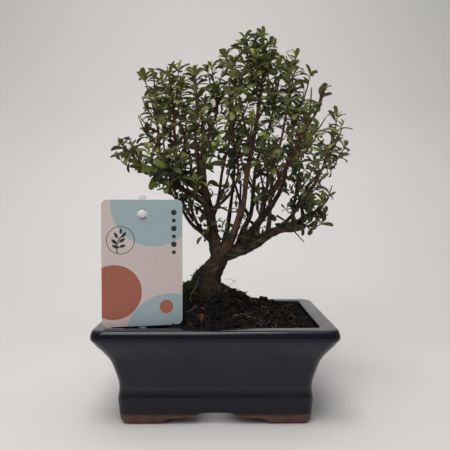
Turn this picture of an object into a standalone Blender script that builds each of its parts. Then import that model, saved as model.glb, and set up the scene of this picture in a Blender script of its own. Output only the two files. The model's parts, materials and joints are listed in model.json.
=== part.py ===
"""Cotoneaster bonsai in a glazed rectangular pot, with a plain plant label on a stake.

Blender works in metres here, +Z is up, the front faces -Y and the pot stands on Z = 0.
Profiles and routes below are in millimetres, the pot's and the label's from the middle of the
pot, the tree's from TREE_FOOT. At the end the part is moved so that its outline is centred.
"""

import math
import random

import bmesh
import bpy
from mathutils import Matrix, Vector
from mathutils.bvhtree import BVHTree

MM = 0.001
GAP = 0.3 * MM            # running gap between pieces that touch
ROOM = 0.4 * MM           # room around a piece that stands in a hole
GOLDEN_TURN = math.radians(137.5)

# Pot, half sizes in mm
DEPTH_INSET = 21.65       # how much less the half depth is than the half width
WALL_OUTSIDE = (          # half width, height, corner radius, from the foot to the rim
    (63.2, 0.0, 5.0), (65.6, 1.8, 6.0), (66.6, 5.5, 6.5), (66.9, 12.0, 6.5), (67.6, 18.0, 7.0),
    (67.2, 21.4, 7.0), (66.3, 23.4, 6.5), (66.7, 25.6, 6.5), (67.2, 29.0, 6.5), (69.0, 36.0, 7.0),
    (72.0, 45.0, 7.5), (76.2, 52.0, 8.0), (79.4, 56.2, 8.5), (81.8, 60.0, 9.0), (83.1, 63.2, 9.0),
    (82.8, 66.4, 9.0), (81.2, 68.0, 8.5),
)
WALL_INSIDE = (           # half width, height, corner radius, from the rim to the floor
    (71.0, 68.0, 5.0), (70.4, 65.0, 5.0), (68.2, 55.0, 5.0), (62.6, 40.0, 4.5), (58.6, 23.0, 4.5),
    (56.5, 14.0, 4.0),
)
CORNER_STEPS = 3
FOOT_CUT = (              # cloud outline between two feet: half width, height
    (39.0, -2.0), (37.6, 1.0), (32.5, 4.1), (21.0, 5.1), (15.6, 5.7), (12.6, 7.6), (10.2, 8.4),
)
SIDE_CUT_SHARE = (0.55, 0.9)   # the cut between front and back feet is narrower and lower
CUT_LENGTH = 180.0             # longer than the pot, so that the cuts run right through
DRAIN_HOLE_RADIUS = 7.0
DRAIN_HOLE_X = 30.0
DRAIN_HOLE_SIDES = 20
SCREEN_SIDE = 20.0
SCREEN_BAR = 1.2

# Soil, in mm
SOIL_EDGE_HEIGHT = 64.5
SOIL_EDGE_INSET = 0.6     # from the wall to the upper edge
SOIL_EDGE_DROP = 1.5      # from the surface to the upper edge
LUMP_HEIGHT = 0.9
SCREEN_POCKET = (23.0, 23.0, 4.2)
SOIL_RINGS = (0.96, 0.80, 0.62, 0.44, 0.24)
SOIL_STEPS_PER_SIDE = (6, 4)
MOUND = (                 # centre x, y, spread, height above the edge
    (-9.0, 4.0, 24.0, 20.0), (-30.0, 0.0, 17.0, 8.0), (17.0, 11.0, 12.0, 9.0), (38.0, 36.0, 13.0, 5.0),
)

# Label, in mm
CARD_SIZE = (54.0, 85.6, 0.8)
CARD_CORNER = 4.0
CARD_CENTRE = (-49.4, -45.5, 111.4)
CARD_TURN = math.radians(9.8)
HOLE_BELOW_TOP = 9.6
HOLE_RADIUS = 3.2
HOLE_SIDES = 20
PEG_RADIUS = 2.8
PEG_SIDES = 16
PEG_REACH = 1.4           # in front of the card
STAKE_SIZE = (5.0, 1.6)
STAKE_TOP_OVER_CARD = 3.2
STAKE_FOOT = 53.0

# Wood: each route is a list of x, y, z and radius in mm, and starts inside its parent
TREE_FOOT = (2.4, 0.0, 3.0)
WOOD = {
    "trunk": ((-10, 2, 66, 12), (-9.5, 2, 80, 13), (-9.4, 2, 90, 10.2), (-4.8, 1, 99, 7),
              (-0.2, 0, 107, 5.9), (-0.4, 0, 115, 5.6)),
    "root_left": ((-12, 0, 85, 6.5), (-23, -3, 83, 5.4), (-35, -7, 76, 4), (-43, -9, 68, 2.6)),
    "root_front": ((-8, -2, 83, 6), (-10, -12, 76, 4.8), (-12, -20, 67, 3.2)),
    "root_right": ((-6, 2, 84, 6.5), (5, 5, 77, 5), (12, 8, 68, 3.4)),
    "root_back": ((-10, 6, 86, 6.5), (-14, 18, 80, 5), (-17, 27, 69, 3)),
    "low_right": ((0, 0, 109, 5.6), (16, 2, 114, 5), (28, 2, 119, 4.2), (39, 3, 126, 3.6), (54, 4, 132, 3),
                  (66, 3, 138, 2.4), (77, 1, 145, 1.8)),
    "pruned_stub": ((46, 3, 129, 2.8), (57, 0, 130, 2.9), (65, -2, 132, 2.7)),
    "apex": ((2, -1, 111, 4), (9, -4, 122, 3.3), (14, -8, 136, 2.8), (18, -12, 150, 2.6),
             (20, -14, 168, 2.5), (23, -13, 186, 2.4), (27, -11, 206, 2.2), (30, -9, 226, 1.9),
             (32, -8, 242, 1.5), (33, -8, 252, 1.1)),
    "dark_centre": ((14, 3, 114, 3.4), (19, 7, 129, 2.7), (25, 11, 143, 2.4), (27, 14, 162, 2.1),
                    (30, 18, 184, 1.8), (39, 20, 208, 1.5), (44, 18, 230, 1.1)),
    "front_right": ((28, 2, 120, 2.6), (30, -3, 134, 2.1), (33, -10, 152, 1.8), (38, -20, 172, 1.6),
                    (44, -26, 194, 1.3), (47, -29, 212, 1)),
    "right_middle": ((16, 4, 116, 3.4), (27, 9, 130, 3), (39, 13, 145, 2.7), (49, 15, 161, 2.4),
                     (54, 16, 182, 2), (58, 17, 206, 1.7), (56, 17, 230, 1.1)),
    "right_lean": ((53, 16, 178, 2.1), (60, 12, 190, 1.8), (68, 8, 208, 1.5), (74, 5, 218, 1.1)),
    "right_upright": ((37, 3, 125, 2.8), (38, -3, 137, 2.3), (39, -9, 156, 2), (49, -18, 176, 1.7),
                      (58, -27, 198, 1.4), (62, -32, 208, 1)),
    "right_back": ((57, 4, 134, 2.2), (58, 10, 144, 1.8), (62, 22, 160, 1.5), (66, 32, 178, 1.1)),
    "right_outer": ((65, 3, 138, 2), (63, 1, 150, 1.8), (68, 0, 163, 1.7), (77, -1, 173, 1.5),
                    (83, -2, 186, 1.2)),
    "front_low_right": ((46, 3, 129, 2.2), (54, -9, 140, 1.8), (62, -20, 152, 1.4), (68, -27, 162, 1.1)),
    "centre_left": ((-2, 0, 111, 5), (-5, 2, 127, 4.1), (-7, 4, 140, 3.8), (-10, 5, 153, 3.4),
                    (-13, 6, 170, 3), (-12, 7, 196, 2.6)),
    "centre_left_a": ((-12, 7, 194, 2.3), (-13, 8, 210, 1.8), (-16, 8, 222, 1.2)),
    "centre_left_b": ((-12, 7, 192, 2.4), (-6, 10, 208, 2), (-2, 13, 222, 1.6), (-2, 14, 234, 1.1)),
    "centre_back": ((-6, 4, 138, 2.6), (-1, 12, 152, 1.9), (2, 20, 174, 1.6), (8, 25, 200, 1.5),
                    (13, 25, 222, 1.3), (13, 23, 240, 1)),
    "centre_front": ((-7, 4, 144, 2), (4, 3, 152, 1.6), (10, 1, 160, 1.4), (14, -2, 170, 1.3),
                     (13, -12, 184, 1.3), (9, -24, 202, 1.2), (7, -30, 218, 1)),
    "red_front": ((-3, -1, 118, 2.8), (-6, -7, 134, 2.1), (-10, -11, 152, 1.8), (-15, -17, 172, 1.6),
                  (-17, -25, 192, 1.3), (-16, -30, 210, 1)),
    "left": ((-9, 4, 148, 3.2), (-19, 2, 155, 2.8), (-32, -1, 162, 2.5), (-46, -4, 169, 2.1),
             (-57, -6, 176, 1.6), (-64, -8, 184, 1.2)),
    "left_upper": ((-11, 5, 156, 2.6), (-22, 9, 163, 2.1), (-35, 13, 172, 1.7), (-46, 20, 184, 1.1)),
    "left_outer": ((-45, -4, 168, 2.2), (-46, 0, 182, 1.9), (-47, 4, 204, 1.6), (-50, 6, 220, 1.1)),
    "left_inner": ((-31, -1, 162, 2.2), (-32, -6, 176, 1.9), (-33, -11, 198, 1.6), (-34, -13, 222, 1.1)),
    "left_back": ((-33, 12, 171, 1.8), (-30, 18, 186, 1.6), (-28, 25, 204, 1.3), (-27, 27, 216, 1)),
    "low_left": ((-2, 0, 115, 2.9), (-11, -3, 125, 2.2), (-21, -8, 134, 1.9), (-29, -13, 148, 1.6),
                 (-35, -20, 166, 1.2), (-38, -25, 180, 1)),
    "low_left_back": ((-10, -3, 124, 2.2), (-18, 4, 135, 1.8), (-23, 14, 148, 1.5), (-27, 30, 166, 1.2),
                      (-29, 38, 180, 1)),
    "back_left": ((-5, 2, 126, 3), (-8, 14, 141, 2.4), (-12, 26, 160, 1.9), (-14, 37, 184, 1.4),
                  (-15, 43, 206, 1)),
    "back_right": ((22, 2, 116, 3), (29, 14, 128, 2.4), (36, 27, 145, 2), (40, 38, 168, 1.5),
                   (40, 44, 192, 1.1)),
    "back_centre": ((2, 1, 112, 3.4), (6, 13, 128, 2.6), (9, 27, 148, 2.1), (12, 38, 174, 1.7),
                    (12, 43, 204, 1.3), (11, 44, 224, 1)),
}
BURIED = ("trunk", "root_left", "root_front", "root_right", "root_back")
THICK_WOOD = 5.5          # limbs with a larger radius than this have as many sides as the roots
BURIED_SIDES = 8
BURIED_STEPS = 2
LIMB_SIDES = 6

# Leafy shoots: wood they grow on, share along it, tip in mm and number of leaves
SHOOTS = (
    ("apex", 1.00, (33, -8, 272), 7),
    ("apex", 0.86, (19, -13, 268), 6),
    ("apex", 0.72, (42, -20, 246), 6),
    ("apex", 0.60, (14, -22, 226), 5),
    ("dark_centre", 1.00, (45, 18, 252), 6),
    ("dark_centre", 0.66, (24, 30, 214), 6),
    ("dark_centre", 0.50, (44, 26, 190), 5),
    ("front_right", 1.00, (49, -31, 238), 6),
    ("front_right", 0.60, (30, -36, 192), 6),
    ("right_middle", 1.00, (54, 16, 255), 6),
    ("right_middle", 0.84, (67, 15, 239), 6),
    ("right_middle", 0.60, (70, 30, 212), 6),
    ("right_lean", 1.00, (78, 4, 235), 7),
    ("right_lean", 0.45, (80, -4, 214), 5),
    ("right_upright", 1.00, (64, -34, 229), 6),
    ("right_upright", 0.62, (70, -34, 200), 6),
    ("right_back", 1.00, (71, 38, 202), 6),
    ("right_back", 0.55, (76, 22, 180), 5),
    ("right_outer", 1.00, (89, -2, 214), 7),
    ("right_outer", 0.80, (93, -8, 190), 4),
    ("right_outer", 0.40, (54, -10, 178), 5),
    ("low_right", 1.00, (86, -1, 163), 7),
    ("low_right", 0.78, (80, 12, 133), 4),
    ("front_low_right", 1.00, (74, -36, 184), 6),
    ("centre_left_a", 1.00, (-20, 8, 245), 6),
    ("centre_left_a", 0.50, (-30, 4, 232), 5),
    ("centre_left_b", 1.00, (-6, 12, 254), 6),
    ("centre_left", 0.86, (-2, -10, 208), 5),
    ("centre_back", 1.00, (13, 20, 262), 6),
    ("centre_back", 0.70, (24, 36, 234), 6),
    ("centre_front", 1.00, (8, -31, 242), 6),
    ("centre_front", 0.55, (24, -32, 206), 5),
    ("red_front", 1.00, (-17, -33, 238), 6),
    ("red_front", 0.60, (-2, -32, 188), 5),
    ("left", 1.00, (-75, -9, 197), 7),
    ("left", 0.84, (-72, -14, 180), 5),
    ("left", 0.55, (-50, -24, 186), 6),
    ("left_upper", 1.00, (-58, 28, 206), 6),
    ("left_outer", 1.00, (-57, 6, 243), 7),
    ("left_outer", 0.50, (-62, 2, 216), 6),
    ("left_inner", 1.00, (-36, -14, 244), 6),
    ("left_inner", 0.60, (-46, -22, 222), 6),
    ("left_back", 1.00, (-34, 28, 240), 6),
    ("low_left", 1.00, (-40, -30, 204), 6),
    ("low_left", 0.45, (-16, -26, 164), 5),
    ("low_left_back", 1.00, (-36, 42, 202), 6),
    ("back_left", 1.00, (-12, 44, 232), 6),
    ("back_right", 1.00, (44, 44, 218), 6),
    ("back_right", 0.55, (24, 42, 178), 5),
    ("back_centre", 1.00, (12, 42, 250), 6),
)
STEM_RADIUS = (0.85, 0.45)     # at the wood and at the tip
STEM_SIDES = 4
STEM_STEPS = 2
STEM_START = 1.2               # straight out of the wood before the stem bends
STEM_BEND = (0.25, 0.35)       # shares of the length that aim the stem at its start and tip
STEM_ROOM = 0.5                # kept free round a stem
SEAT_ROOM = 0.05               # added to the gap where a stem sits on a limb's side
LEAF_LENGTH = (9.5, 14.0)
LEAF_WIDTH_SHARE = 0.38
LEAF_THICKNESS = 0.65
LEAF_OUTLINE = ((0.34, 0.92), (0.72, 0.84))   # share of the length, share of the half width
BLADE_FACES = ((0, 1, 5), (1, 2, 4, 5), (2, 3, 4))
LEAF_ARCH = 0.24
LEAF_ROOM = 0.35               # kept free round a leaf
FIRST_LEAF = 0.20              # share of the stem below the first leaf
TIP_SHRINK = 0.22              # how much shorter leaves are at the tip
LEAF_PITCH = (64.0, 30.0)      # degrees from the stem, at its start and near its tip
TIP_LEAF_PITCH = 8.0
LEAF_SEED = 11
LEAF_TRIES = [(turn, pitch, size) for size in (1.0, 0.86, 0.72) for turn in (0, 24, -24, 48, -48, 75, -75)
              for pitch in (0, -16, 16)]
STEM_TRIES = 60
CROWN_HALF_DEPTH = 59.5

COLOURS = {
    "dark_blue_glaze": ((0.020, 0.022, 0.032), 0.18),
    "dark_soil": ((0.022, 0.017, 0.014), 0.95),
    "red_brown_bark": ((0.075, 0.042, 0.030), 0.80),
    "green_leaf": ((0.070, 0.120, 0.035), 0.45),
    "label_blue": ((0.270, 0.370, 0.400), 0.40),
    "clear_plastic": ((0.700, 0.730, 0.740), 0.20),
    "black_mesh": ((0.015, 0.015, 0.015), 0.60),
}


def clear_scene():
    for obj in list(bpy.data.objects):
        bpy.data.objects.remove(obj, do_unlink=True)


def new_collection(name):
    collection = bpy.data.collections.new(name)
    bpy.context.scene.collection.children.link(collection)
    return collection


def finish_material(name):
    material = bpy.data.materials.get(name)
    if material:
        return material
    colour, roughness = COLOURS[name]
    material = bpy.data.materials.new(name)
    material.use_nodes = True
    shader = material.node_tree.nodes["Principled BSDF"]
    shader.inputs["Base Color"].default_value = (*colour, 1.0)
    shader.inputs["Roughness"].default_value = roughness
    shader.inputs["Metallic"].default_value = 0.0
    return material


def vector_mm(point):
    return Vector(point[:3]) * MM


def tree_vector(point):
    return vector_mm(point) + vector_mm(TREE_FOOT)


def object_from_bmesh(name, bm, collection, material=None):
    bmesh.ops.recalc_face_normals(bm, faces=bm.faces)
    mesh = bpy.data.meshes.new(name)
    bm.to_mesh(mesh)
    bm.free()
    obj = bpy.data.objects.new(name, mesh)
    collection.objects.link(obj)
    if material:
        mesh.materials.append(finish_material(material))
    return obj


def mesh_from_curve(curve_object, collection):
    """Turns a curve object into a mesh object with its caps welded, and removes the curve."""
    depsgraph = bpy.context.evaluated_depsgraph_get()
    mesh = bpy.data.meshes.new_from_object(curve_object.evaluated_get(depsgraph))
    bm = bmesh.new()
    bm.from_mesh(mesh)
    bmesh.ops.remove_doubles(bm, verts=bm.verts, dist=0.01 * MM)
    bmesh.ops.recalc_face_normals(bm, faces=bm.faces)
    bm.to_mesh(mesh)
    bm.free()
    name = curve_object.name
    placed = curve_object.matrix_world.copy()
    bpy.data.objects.remove(curve_object, do_unlink=True)
    obj = bpy.data.objects.new(name, mesh)
    obj.matrix_world = placed
    collection.objects.link(obj)
    return obj


def add_boolean(obj, operation, operand):
    """Adds a live Boolean with one object, or with every object of a collection."""
    modifier = obj.modifiers.new(operation.lower(), "BOOLEAN")
    modifier.operation = operation
    modifier.solver = "EXACT"
    if isinstance(operand, bpy.types.Collection):
        modifier.operand_type = "COLLECTION"
        modifier.collection = operand
    else:
        modifier.object = operand
    return modifier


def apply_modifiers(obj):
    depsgraph = bpy.context.evaluated_depsgraph_get()
    mesh = bpy.data.meshes.new_from_object(obj.evaluated_get(depsgraph))
    mesh.name = obj.name
    obj.modifiers.clear()
    obj.data = mesh


def fuse(obj, pieces):
    """Joins a collection of pieces to an object in one solid, and removes the pieces."""
    add_boolean(obj, "UNION", pieces)
    apply_modifiers(obj)
    for piece in list(pieces.objects):
        bpy.data.objects.remove(piece, do_unlink=True)
    bpy.data.collections.remove(pieces)


def shade_smooth(obj, angle=40):
    obj.data.shade_smooth()
    obj.data.set_sharp_from_angle(angle=math.radians(angle))


def rounded_ring(half_width, half_depth, corner, height, sides=(1, 1)):
    """Points round a rectangle with rounded corners, with each side cut into equal steps."""
    across, along = sides
    centres = (
        (half_width - corner, half_depth - corner), (corner - half_width, half_depth - corner),
        (corner - half_width, corner - half_depth), (half_width - corner, corner - half_depth),
    )
    points = []
    for quarter, (cx, cy) in enumerate(centres):
        arc = []
        for step in range(CORNER_STEPS + 1):
            angle = math.radians(90) * (quarter + step / CORNER_STEPS)
            arc.append(Vector((cx + corner * math.cos(angle), cy + corner * math.sin(angle), height)))
        points += arc
        nx, ny = centres[(quarter + 1) % 4]
        turn = math.radians(90) * (quarter + 1)
        start = arc[-1]
        end = Vector((nx + corner * math.cos(turn), ny + corner * math.sin(turn), height))
        steps = across if quarter % 2 == 0 else along
        points += [start.lerp(end, step / steps) for step in range(1, steps)]
    return [point * MM for point in points]


def loft(rings, tip=None):
    """Skins a closed solid over rings of equal length; the last ring may close on a tip."""
    bm = bmesh.new()
    rows = [[bm.verts.new(point) for point in ring] for ring in rings]
    count = len(rows[0])
    for lower, upper in zip(rows, rows[1:]):
        for i in range(count):
            j = (i + 1) % count
            bm.faces.new((lower[i], lower[j], upper[j], upper[i]))
    bm.faces.new(list(reversed(rows[0])))
    if tip is None:
        bm.faces.new(rows[-1])
    else:
        top = bm.verts.new(tip)
        for i in range(count):
            bm.faces.new((rows[-1][i], rows[-1][(i + 1) % count], top))
    return bm


def wood_route(name, steps=1):
    """A limb's or root's points in mm from the middle of the pot, with extra points between them."""
    foot = (*TREE_FOOT, 0.0)
    values = [tuple(v + f for v, f in zip(point, foot)) for point in WOOD[name]]
    return smooth_route(values, steps)


def smooth_route(values, steps):
    """Catmull-Rom points through a route, with the radius carried along."""
    ends = [values[0]] + values + [values[-1]]
    route = []
    for i in range(1, len(ends) - 2):
        a, b, c, d = ends[i - 1:i + 3]
        for step in range(steps):
            t = step / steps
            route.append(tuple(
                0.5 * (2 * q + (r - p) * t + (2 * p - 5 * q + 4 * r - s) * t ** 2
                       + (3 * q - p - 3 * r + s) * t ** 3)
                for p, q, r, s in zip(a, b, c, d)))
    route.append(values[-1])
    return route


def tube(name, route, sides, collection, extra=0.0):
    """A tube with filled caps along a route of x, y, z and radius in mm, fattened by extra."""
    curve = bpy.data.curves.new(name, "CURVE")
    curve.dimensions = "3D"
    curve.bevel_depth = MM
    curve.bevel_resolution = (sides - 4) // 2
    curve.use_fill_caps = True
    spline = curve.splines.new("POLY")
    route = list(route)
    if extra:
        last = Vector(route[-1][:3])
        onward = (last - Vector(route[-2][:3])).normalized() * extra
        route[-1] = (*(last + onward), route[-1][3])
    spline.points.add(len(route) - 1)
    for point, (x, y, z, radius) in zip(spline.points, route):
        point.co = (x * MM, y * MM, z * MM, 1.0)
        point.radius = radius + extra
    obj = bpy.data.objects.new(name, curve)
    collection.objects.link(obj)
    bpy.context.view_layer.update()
    return mesh_from_curve(obj, collection)


def flat_plate(name, outlines, thickness, collection):
    """A plate from closed 2D outlines in mm; an outline inside another is a hole."""
    curve = bpy.data.curves.new(name, "CURVE")
    curve.dimensions = "2D"
    curve.fill_mode = "BOTH"
    curve.extrude = thickness / 2 * MM
    for outline in outlines:
        spline = curve.splines.new("POLY")
        spline.use_cyclic_u = True
        spline.points.add(len(outline) - 1)
        for point, (x, y) in zip(spline.points, outline):
            point.co = (x * MM, y * MM, 0.0, 1.0)
    obj = bpy.data.objects.new(name, curve)
    collection.objects.link(obj)
    bpy.context.view_layer.update()
    return mesh_from_curve(obj, collection)


def as_cutter(obj, cutters):
    obj.hide_render = True
    obj.display_type = "WIRE"
    if obj.name not in cutters.objects:
        for collection in obj.users_collection:
            collection.objects.unlink(obj)
        cutters.objects.link(obj)
    return obj


def cylinder(name, radius, depth, location, sides, collection):
    bm = bmesh.new()
    bmesh.ops.create_cone(bm, cap_ends=True, segments=sides, radius1=radius * MM, radius2=radius * MM,
                          depth=depth * MM)
    bmesh.ops.translate(bm, vec=Vector(location) * MM, verts=bm.verts)
    return object_from_bmesh(name, bm, collection)


def box(name, size, location, collection):
    bm = bmesh.new()
    bmesh.ops.create_cube(bm, size=1.0)
    bmesh.ops.scale(bm, vec=Vector(size) * MM, verts=bm.verts)
    bmesh.ops.translate(bm, vec=Vector(location) * MM, verts=bm.verts)
    return object_from_bmesh(name, bm, collection)


def foot_cutter(name, share, cutters):
    """The cloud-shaped tunnel between two feet, along Y before it is turned."""
    right = [(x * share[0], z * share[1]) for x, z in FOOT_CUT]
    left = [(-x, z) for x, z in reversed(right)]
    obj = flat_plate(name, [right + left], CUT_LENGTH, cutters)
    obj.data.transform(Matrix.Rotation(math.radians(90), 4, "X"))
    return as_cutter(obj, cutters)


def build_pot(parts, cutters):
    rings = [rounded_ring(w, w - DEPTH_INSET, r, z) for w, z, r in WALL_OUTSIDE + WALL_INSIDE]
    pot = object_from_bmesh("pot", loft(rings), parts, "dark_blue_glaze")
    front_cut = foot_cutter("cut_front_to_back", (1.0, 1.0), cutters)
    side_cut = foot_cutter("cut_side_to_side", SIDE_CUT_SHARE, cutters)
    side_cut.data.transform(Matrix.Rotation(math.radians(90), 4, "Z"))
    floor = WALL_INSIDE[-1][1]
    drains = [cylinder(f"cut_drain_{side}", DRAIN_HOLE_RADIUS, 3 * floor,
                       (sign * DRAIN_HOLE_X, 0.0, floor / 2), DRAIN_HOLE_SIDES, cutters)
              for side, sign in (("left", -1), ("right", 1))]
    for cutter in (front_cut, side_cut, *drains):
        add_boolean(pot, "DIFFERENCE", as_cutter(cutter, cutters))
    shade_smooth(pot)
    return pot


def build_drain_screens(parts):
    floor = WALL_INSIDE[-1][1]
    for number, sign in ((1, -1), (2, 1)):
        bm = bmesh.new()
        bmesh.ops.create_grid(bm, x_segments=2, y_segments=2, size=SCREEN_SIDE / 2 * MM)
        height = floor * MM + GAP + SCREEN_BAR / 2 * MM
        bmesh.ops.translate(bm, vec=(sign * DRAIN_HOLE_X * MM, 0.0, height), verts=bm.verts)
        screen = object_from_bmesh(f"drain_screen_{number}", bm, parts, "black_mesh")
        wires = screen.modifiers.new("bars", "WIREFRAME")
        wires.thickness = SCREEN_BAR * MM
        wires.use_boundary = True
        wires.use_even_offset = True


def soil_height(x, y):
    """Height of the soil in mm: a mound round the trunk with crumbly lumps on it."""
    height = SOIL_EDGE_HEIGHT
    for cx, cy, spread, rise in MOUND:
        height += rise * math.exp(-((x - cx) ** 2 + (y - cy) ** 2) / (2 * spread ** 2))
    lumps = math.sin(0.31 * x + 1.3) * math.cos(0.37 * y) + 0.6 * math.sin(0.83 * x - 0.57 * y)
    return height + LUMP_HEIGHT * lumps


def build_soil(parts, cutters):
    clearance = GAP / MM
    inside = list(reversed(WALL_INSIDE))
    rings = []
    for half_width, height, corner in inside[:-2]:
        w = half_width - clearance
        rings.append(rounded_ring(w, w - DEPTH_INSET, corner, height + clearance, SOIL_STEPS_PER_SIDE))
    edge_width, _, corner = WALL_INSIDE[1]
    w = edge_width - SOIL_EDGE_INSET
    edge = rounded_ring(w, w - DEPTH_INSET, corner, SOIL_EDGE_HEIGHT - SOIL_EDGE_DROP, SOIL_STEPS_PER_SIDE)
    rings.append(edge)
    for share in SOIL_RINGS:
        ring = []
        for point in edge:
            x, y = point.x * share, point.y * share
            ring.append(Vector((x, y, soil_height(x / MM, y / MM) * MM)))
        rings.append(ring)
    bm = loft(rings, Vector((0.0, 0.0, soil_height(0.0, 0.0) * MM)))
    bmesh.ops.triangulate(bm, faces=bm.faces)
    soil = object_from_bmesh("soil", bm, parts, "dark_soil")
    for name in BURIED:
        hole = tube(f"cut_{name}", wood_route(name, BURIED_STEPS), BURIED_SIDES, cutters, ROOM / MM)
        add_boolean(soil, "DIFFERENCE", as_cutter(hole, cutters))
    floor = WALL_INSIDE[-1][1]
    for side, sign in (("left", -1), ("right", 1)):
        pocket = box(f"cut_screen_{side}", SCREEN_POCKET, (sign * DRAIN_HOLE_X, 0.0, floor), cutters)
        add_boolean(soil, "DIFFERENCE", as_cutter(pocket, cutters))
    slot = stake_body("cut_stake", cutters, ROOM / MM)
    add_boolean(soil, "DIFFERENCE", as_cutter(slot, cutters))
    shade_smooth(soil, 60)
    return soil


def label_matrix():
    """Places the label: its face looks to -Y, turned a little to the left of the viewer."""
    return Matrix.Translation(vector_mm(CARD_CENTRE)) @ Matrix.Rotation(CARD_TURN, 4, "Z")


def circle_outline(radius, cx, cy, sides):
    turns = [2 * math.pi * i / sides for i in range(sides)]
    return [(cx + radius * math.cos(t), cy + radius * math.sin(t)) for t in turns]


def build_label_card(parts):
    width, height, thickness = CARD_SIZE
    outline = [(p.x / MM, p.y / MM) for p in rounded_ring(width / 2, height / 2, CARD_CORNER, 0.0)]
    hole = circle_outline(HOLE_RADIUS, 0.0, height / 2 - HOLE_BELOW_TOP, HOLE_SIDES)
    card = flat_plate("label_card", [outline, hole], thickness, parts)
    card.data.transform(Matrix.Rotation(math.radians(90), 4, "X"))
    card.matrix_world = label_matrix()
    card.data.materials.append(finish_material("label_blue"))
    return card


def stake_body(name, collection, extra=0.0):
    """The flat strip behind the card, down into the soil."""
    width, thickness = STAKE_SIZE
    top = CARD_CENTRE[2] + CARD_SIZE[1] / 2 + STAKE_TOP_OVER_CARD
    foot = STAKE_FOOT - extra
    middle = (top + foot) / 2 - CARD_CENTRE[2]
    back = CARD_SIZE[2] / 2 + GAP / MM + thickness / 2
    strip = box(name, (width + 2 * extra, thickness + 2 * extra, top - foot), (0.0, back, middle), collection)
    strip.matrix_world = label_matrix()
    return strip


def build_label_stake(parts):
    stake = stake_body("label_stake", parts)
    stake.data.materials.append(finish_material("clear_plastic"))
    pegs = new_collection("stake_pegs")
    hole_height = CARD_SIZE[1] / 2 - HOLE_BELOW_TOP
    back = CARD_SIZE[2] / 2 + GAP / MM + STAKE_SIZE[1] / 2
    front = -(CARD_SIZE[2] / 2 + PEG_REACH)
    peg = cylinder("peg", PEG_RADIUS, back - front, (0.0, 0.0, 0.0), PEG_SIDES, pegs)
    peg.data.transform(Matrix.Rotation(math.radians(90), 4, "X"))
    peg.data.transform(Matrix.Translation(Vector((0.0, (back + front) / 2, hole_height)) * MM))
    peg.matrix_world = label_matrix()
    bpy.context.view_layer.update()
    fuse(stake, pegs)
    shade_smooth(stake)
    return stake


def build_wood(parts):
    """Trunk, roots and limbs grew as one piece, so they are fused in one solid."""
    limbs = new_collection("limbs")
    for name, route in WOOD.items():
        buried = name in BURIED
        sides = BURIED_SIDES if buried or max(point[3] for point in route) > THICK_WOOD else LIMB_SIDES
        steps = BURIED_STEPS if buried else 1
        target = parts if name == "trunk" else limbs
        tube("trunk_and_limbs" if name == "trunk" else name, wood_route(name, steps), sides, target)
    wood = parts.objects["trunk_and_limbs"]
    wood.data.materials.append(finish_material("red_brown_bark"))
    bpy.context.view_layer.update()
    fuse(wood, limbs)
    shade_smooth(wood, 60)
    return wood


def tree_of(vertices, faces):
    return BVHTree.FromPolygons([tuple(v) for v in vertices], faces)


def object_tree(obj):
    depsgraph = bpy.context.evaluated_depsgraph_get()
    evaluated = obj.evaluated_get(depsgraph)
    mesh = evaluated.to_mesh()
    points = [obj.matrix_world @ vertex.co for vertex in mesh.vertices]
    tree = tree_of(points, [tuple(polygon.vertices) for polygon in mesh.polygons])
    evaluated.to_mesh_clear()
    return tree


def any_perpendicular(direction):
    helper = Vector((0.0, 0.0, 1.0)) if abs(direction.z) < 0.9 else Vector((1.0, 0.0, 0.0))
    return direction.cross(helper).normalized()


def round_tube_tree(points, radii, sides=6):
    """A tree of the walls of a tube, to test what it would touch."""
    vertices, faces = [], []
    for i, point in enumerate(points):
        before = points[max(i - 1, 0)]
        after = points[min(i + 1, len(points) - 1)]
        direction = (after - before).normalized()
        u = any_perpendicular(direction)
        v = direction.cross(u)
        for k in range(sides):
            angle = 2 * math.pi * k / sides
            vertices.append(point + (u * math.cos(angle) + v * math.sin(angle)) * radii[i])
    for i in range(len(points) - 1):
        for k in range(sides):
            a, b = i * sides + k, i * sides + (k + 1) % sides
            faces.append((a, b, b + sides, a + sides))
    return tree_of(vertices, faces)


def point_along(points, share):
    """The point and the direction at a share of a route's length."""
    lengths = [(b - a).length for a, b in zip(points, points[1:])]
    target = share * sum(lengths)
    for i, length in enumerate(lengths):
        if target <= length or i == len(lengths) - 1:
            direction = (points[i + 1] - points[i]).normalized()
            return points[i] + direction * min(target, length), direction
        target -= length


def shoot_seat(route, share, tip, wood_tree):
    """Where a shoot starts on the wood, and the direction that the wood's face looks in."""
    points = [tree_vector(point) for point in route]
    base, axis = point_along(points, share)
    if share == 1.0:
        return base + axis * GAP, axis
    outward = tip - base
    outward -= axis * outward.dot(axis)
    hit, normal, _, _ = wood_tree.ray_cast(base, outward.normalized())
    if normal.dot(outward) < 0:
        normal = -normal
    return hit + normal * (GAP + SEAT_ROOM * MM), normal


def shoot_stem(seat, normal, tip):
    """Centre points of a stem that leaves the wood squarely and bends up to its tip."""
    length = (tip - seat).length
    start = seat + normal * STEM_START * MM
    first = start + normal * length * STEM_BEND[0]
    upright = (tip - seat).normalized() + Vector((0.0, 0.0, 0.8))
    second = tip - upright.normalized() * length * STEM_BEND[1]
    points = [seat]
    for step in range(STEM_STEPS + 1):
        t = step / STEM_STEPS
        points.append(start * (1 - t) ** 3 + first * 3 * t * (1 - t) ** 2
                      + second * 3 * t ** 2 * (1 - t) + tip * t ** 3)
    return points


def stem_radii(count, extra=0.0):
    thick, thin = STEM_RADIUS
    return [(thick + (thin - thick) * i / (count - 1) + extra) * MM for i in range(count)]


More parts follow.
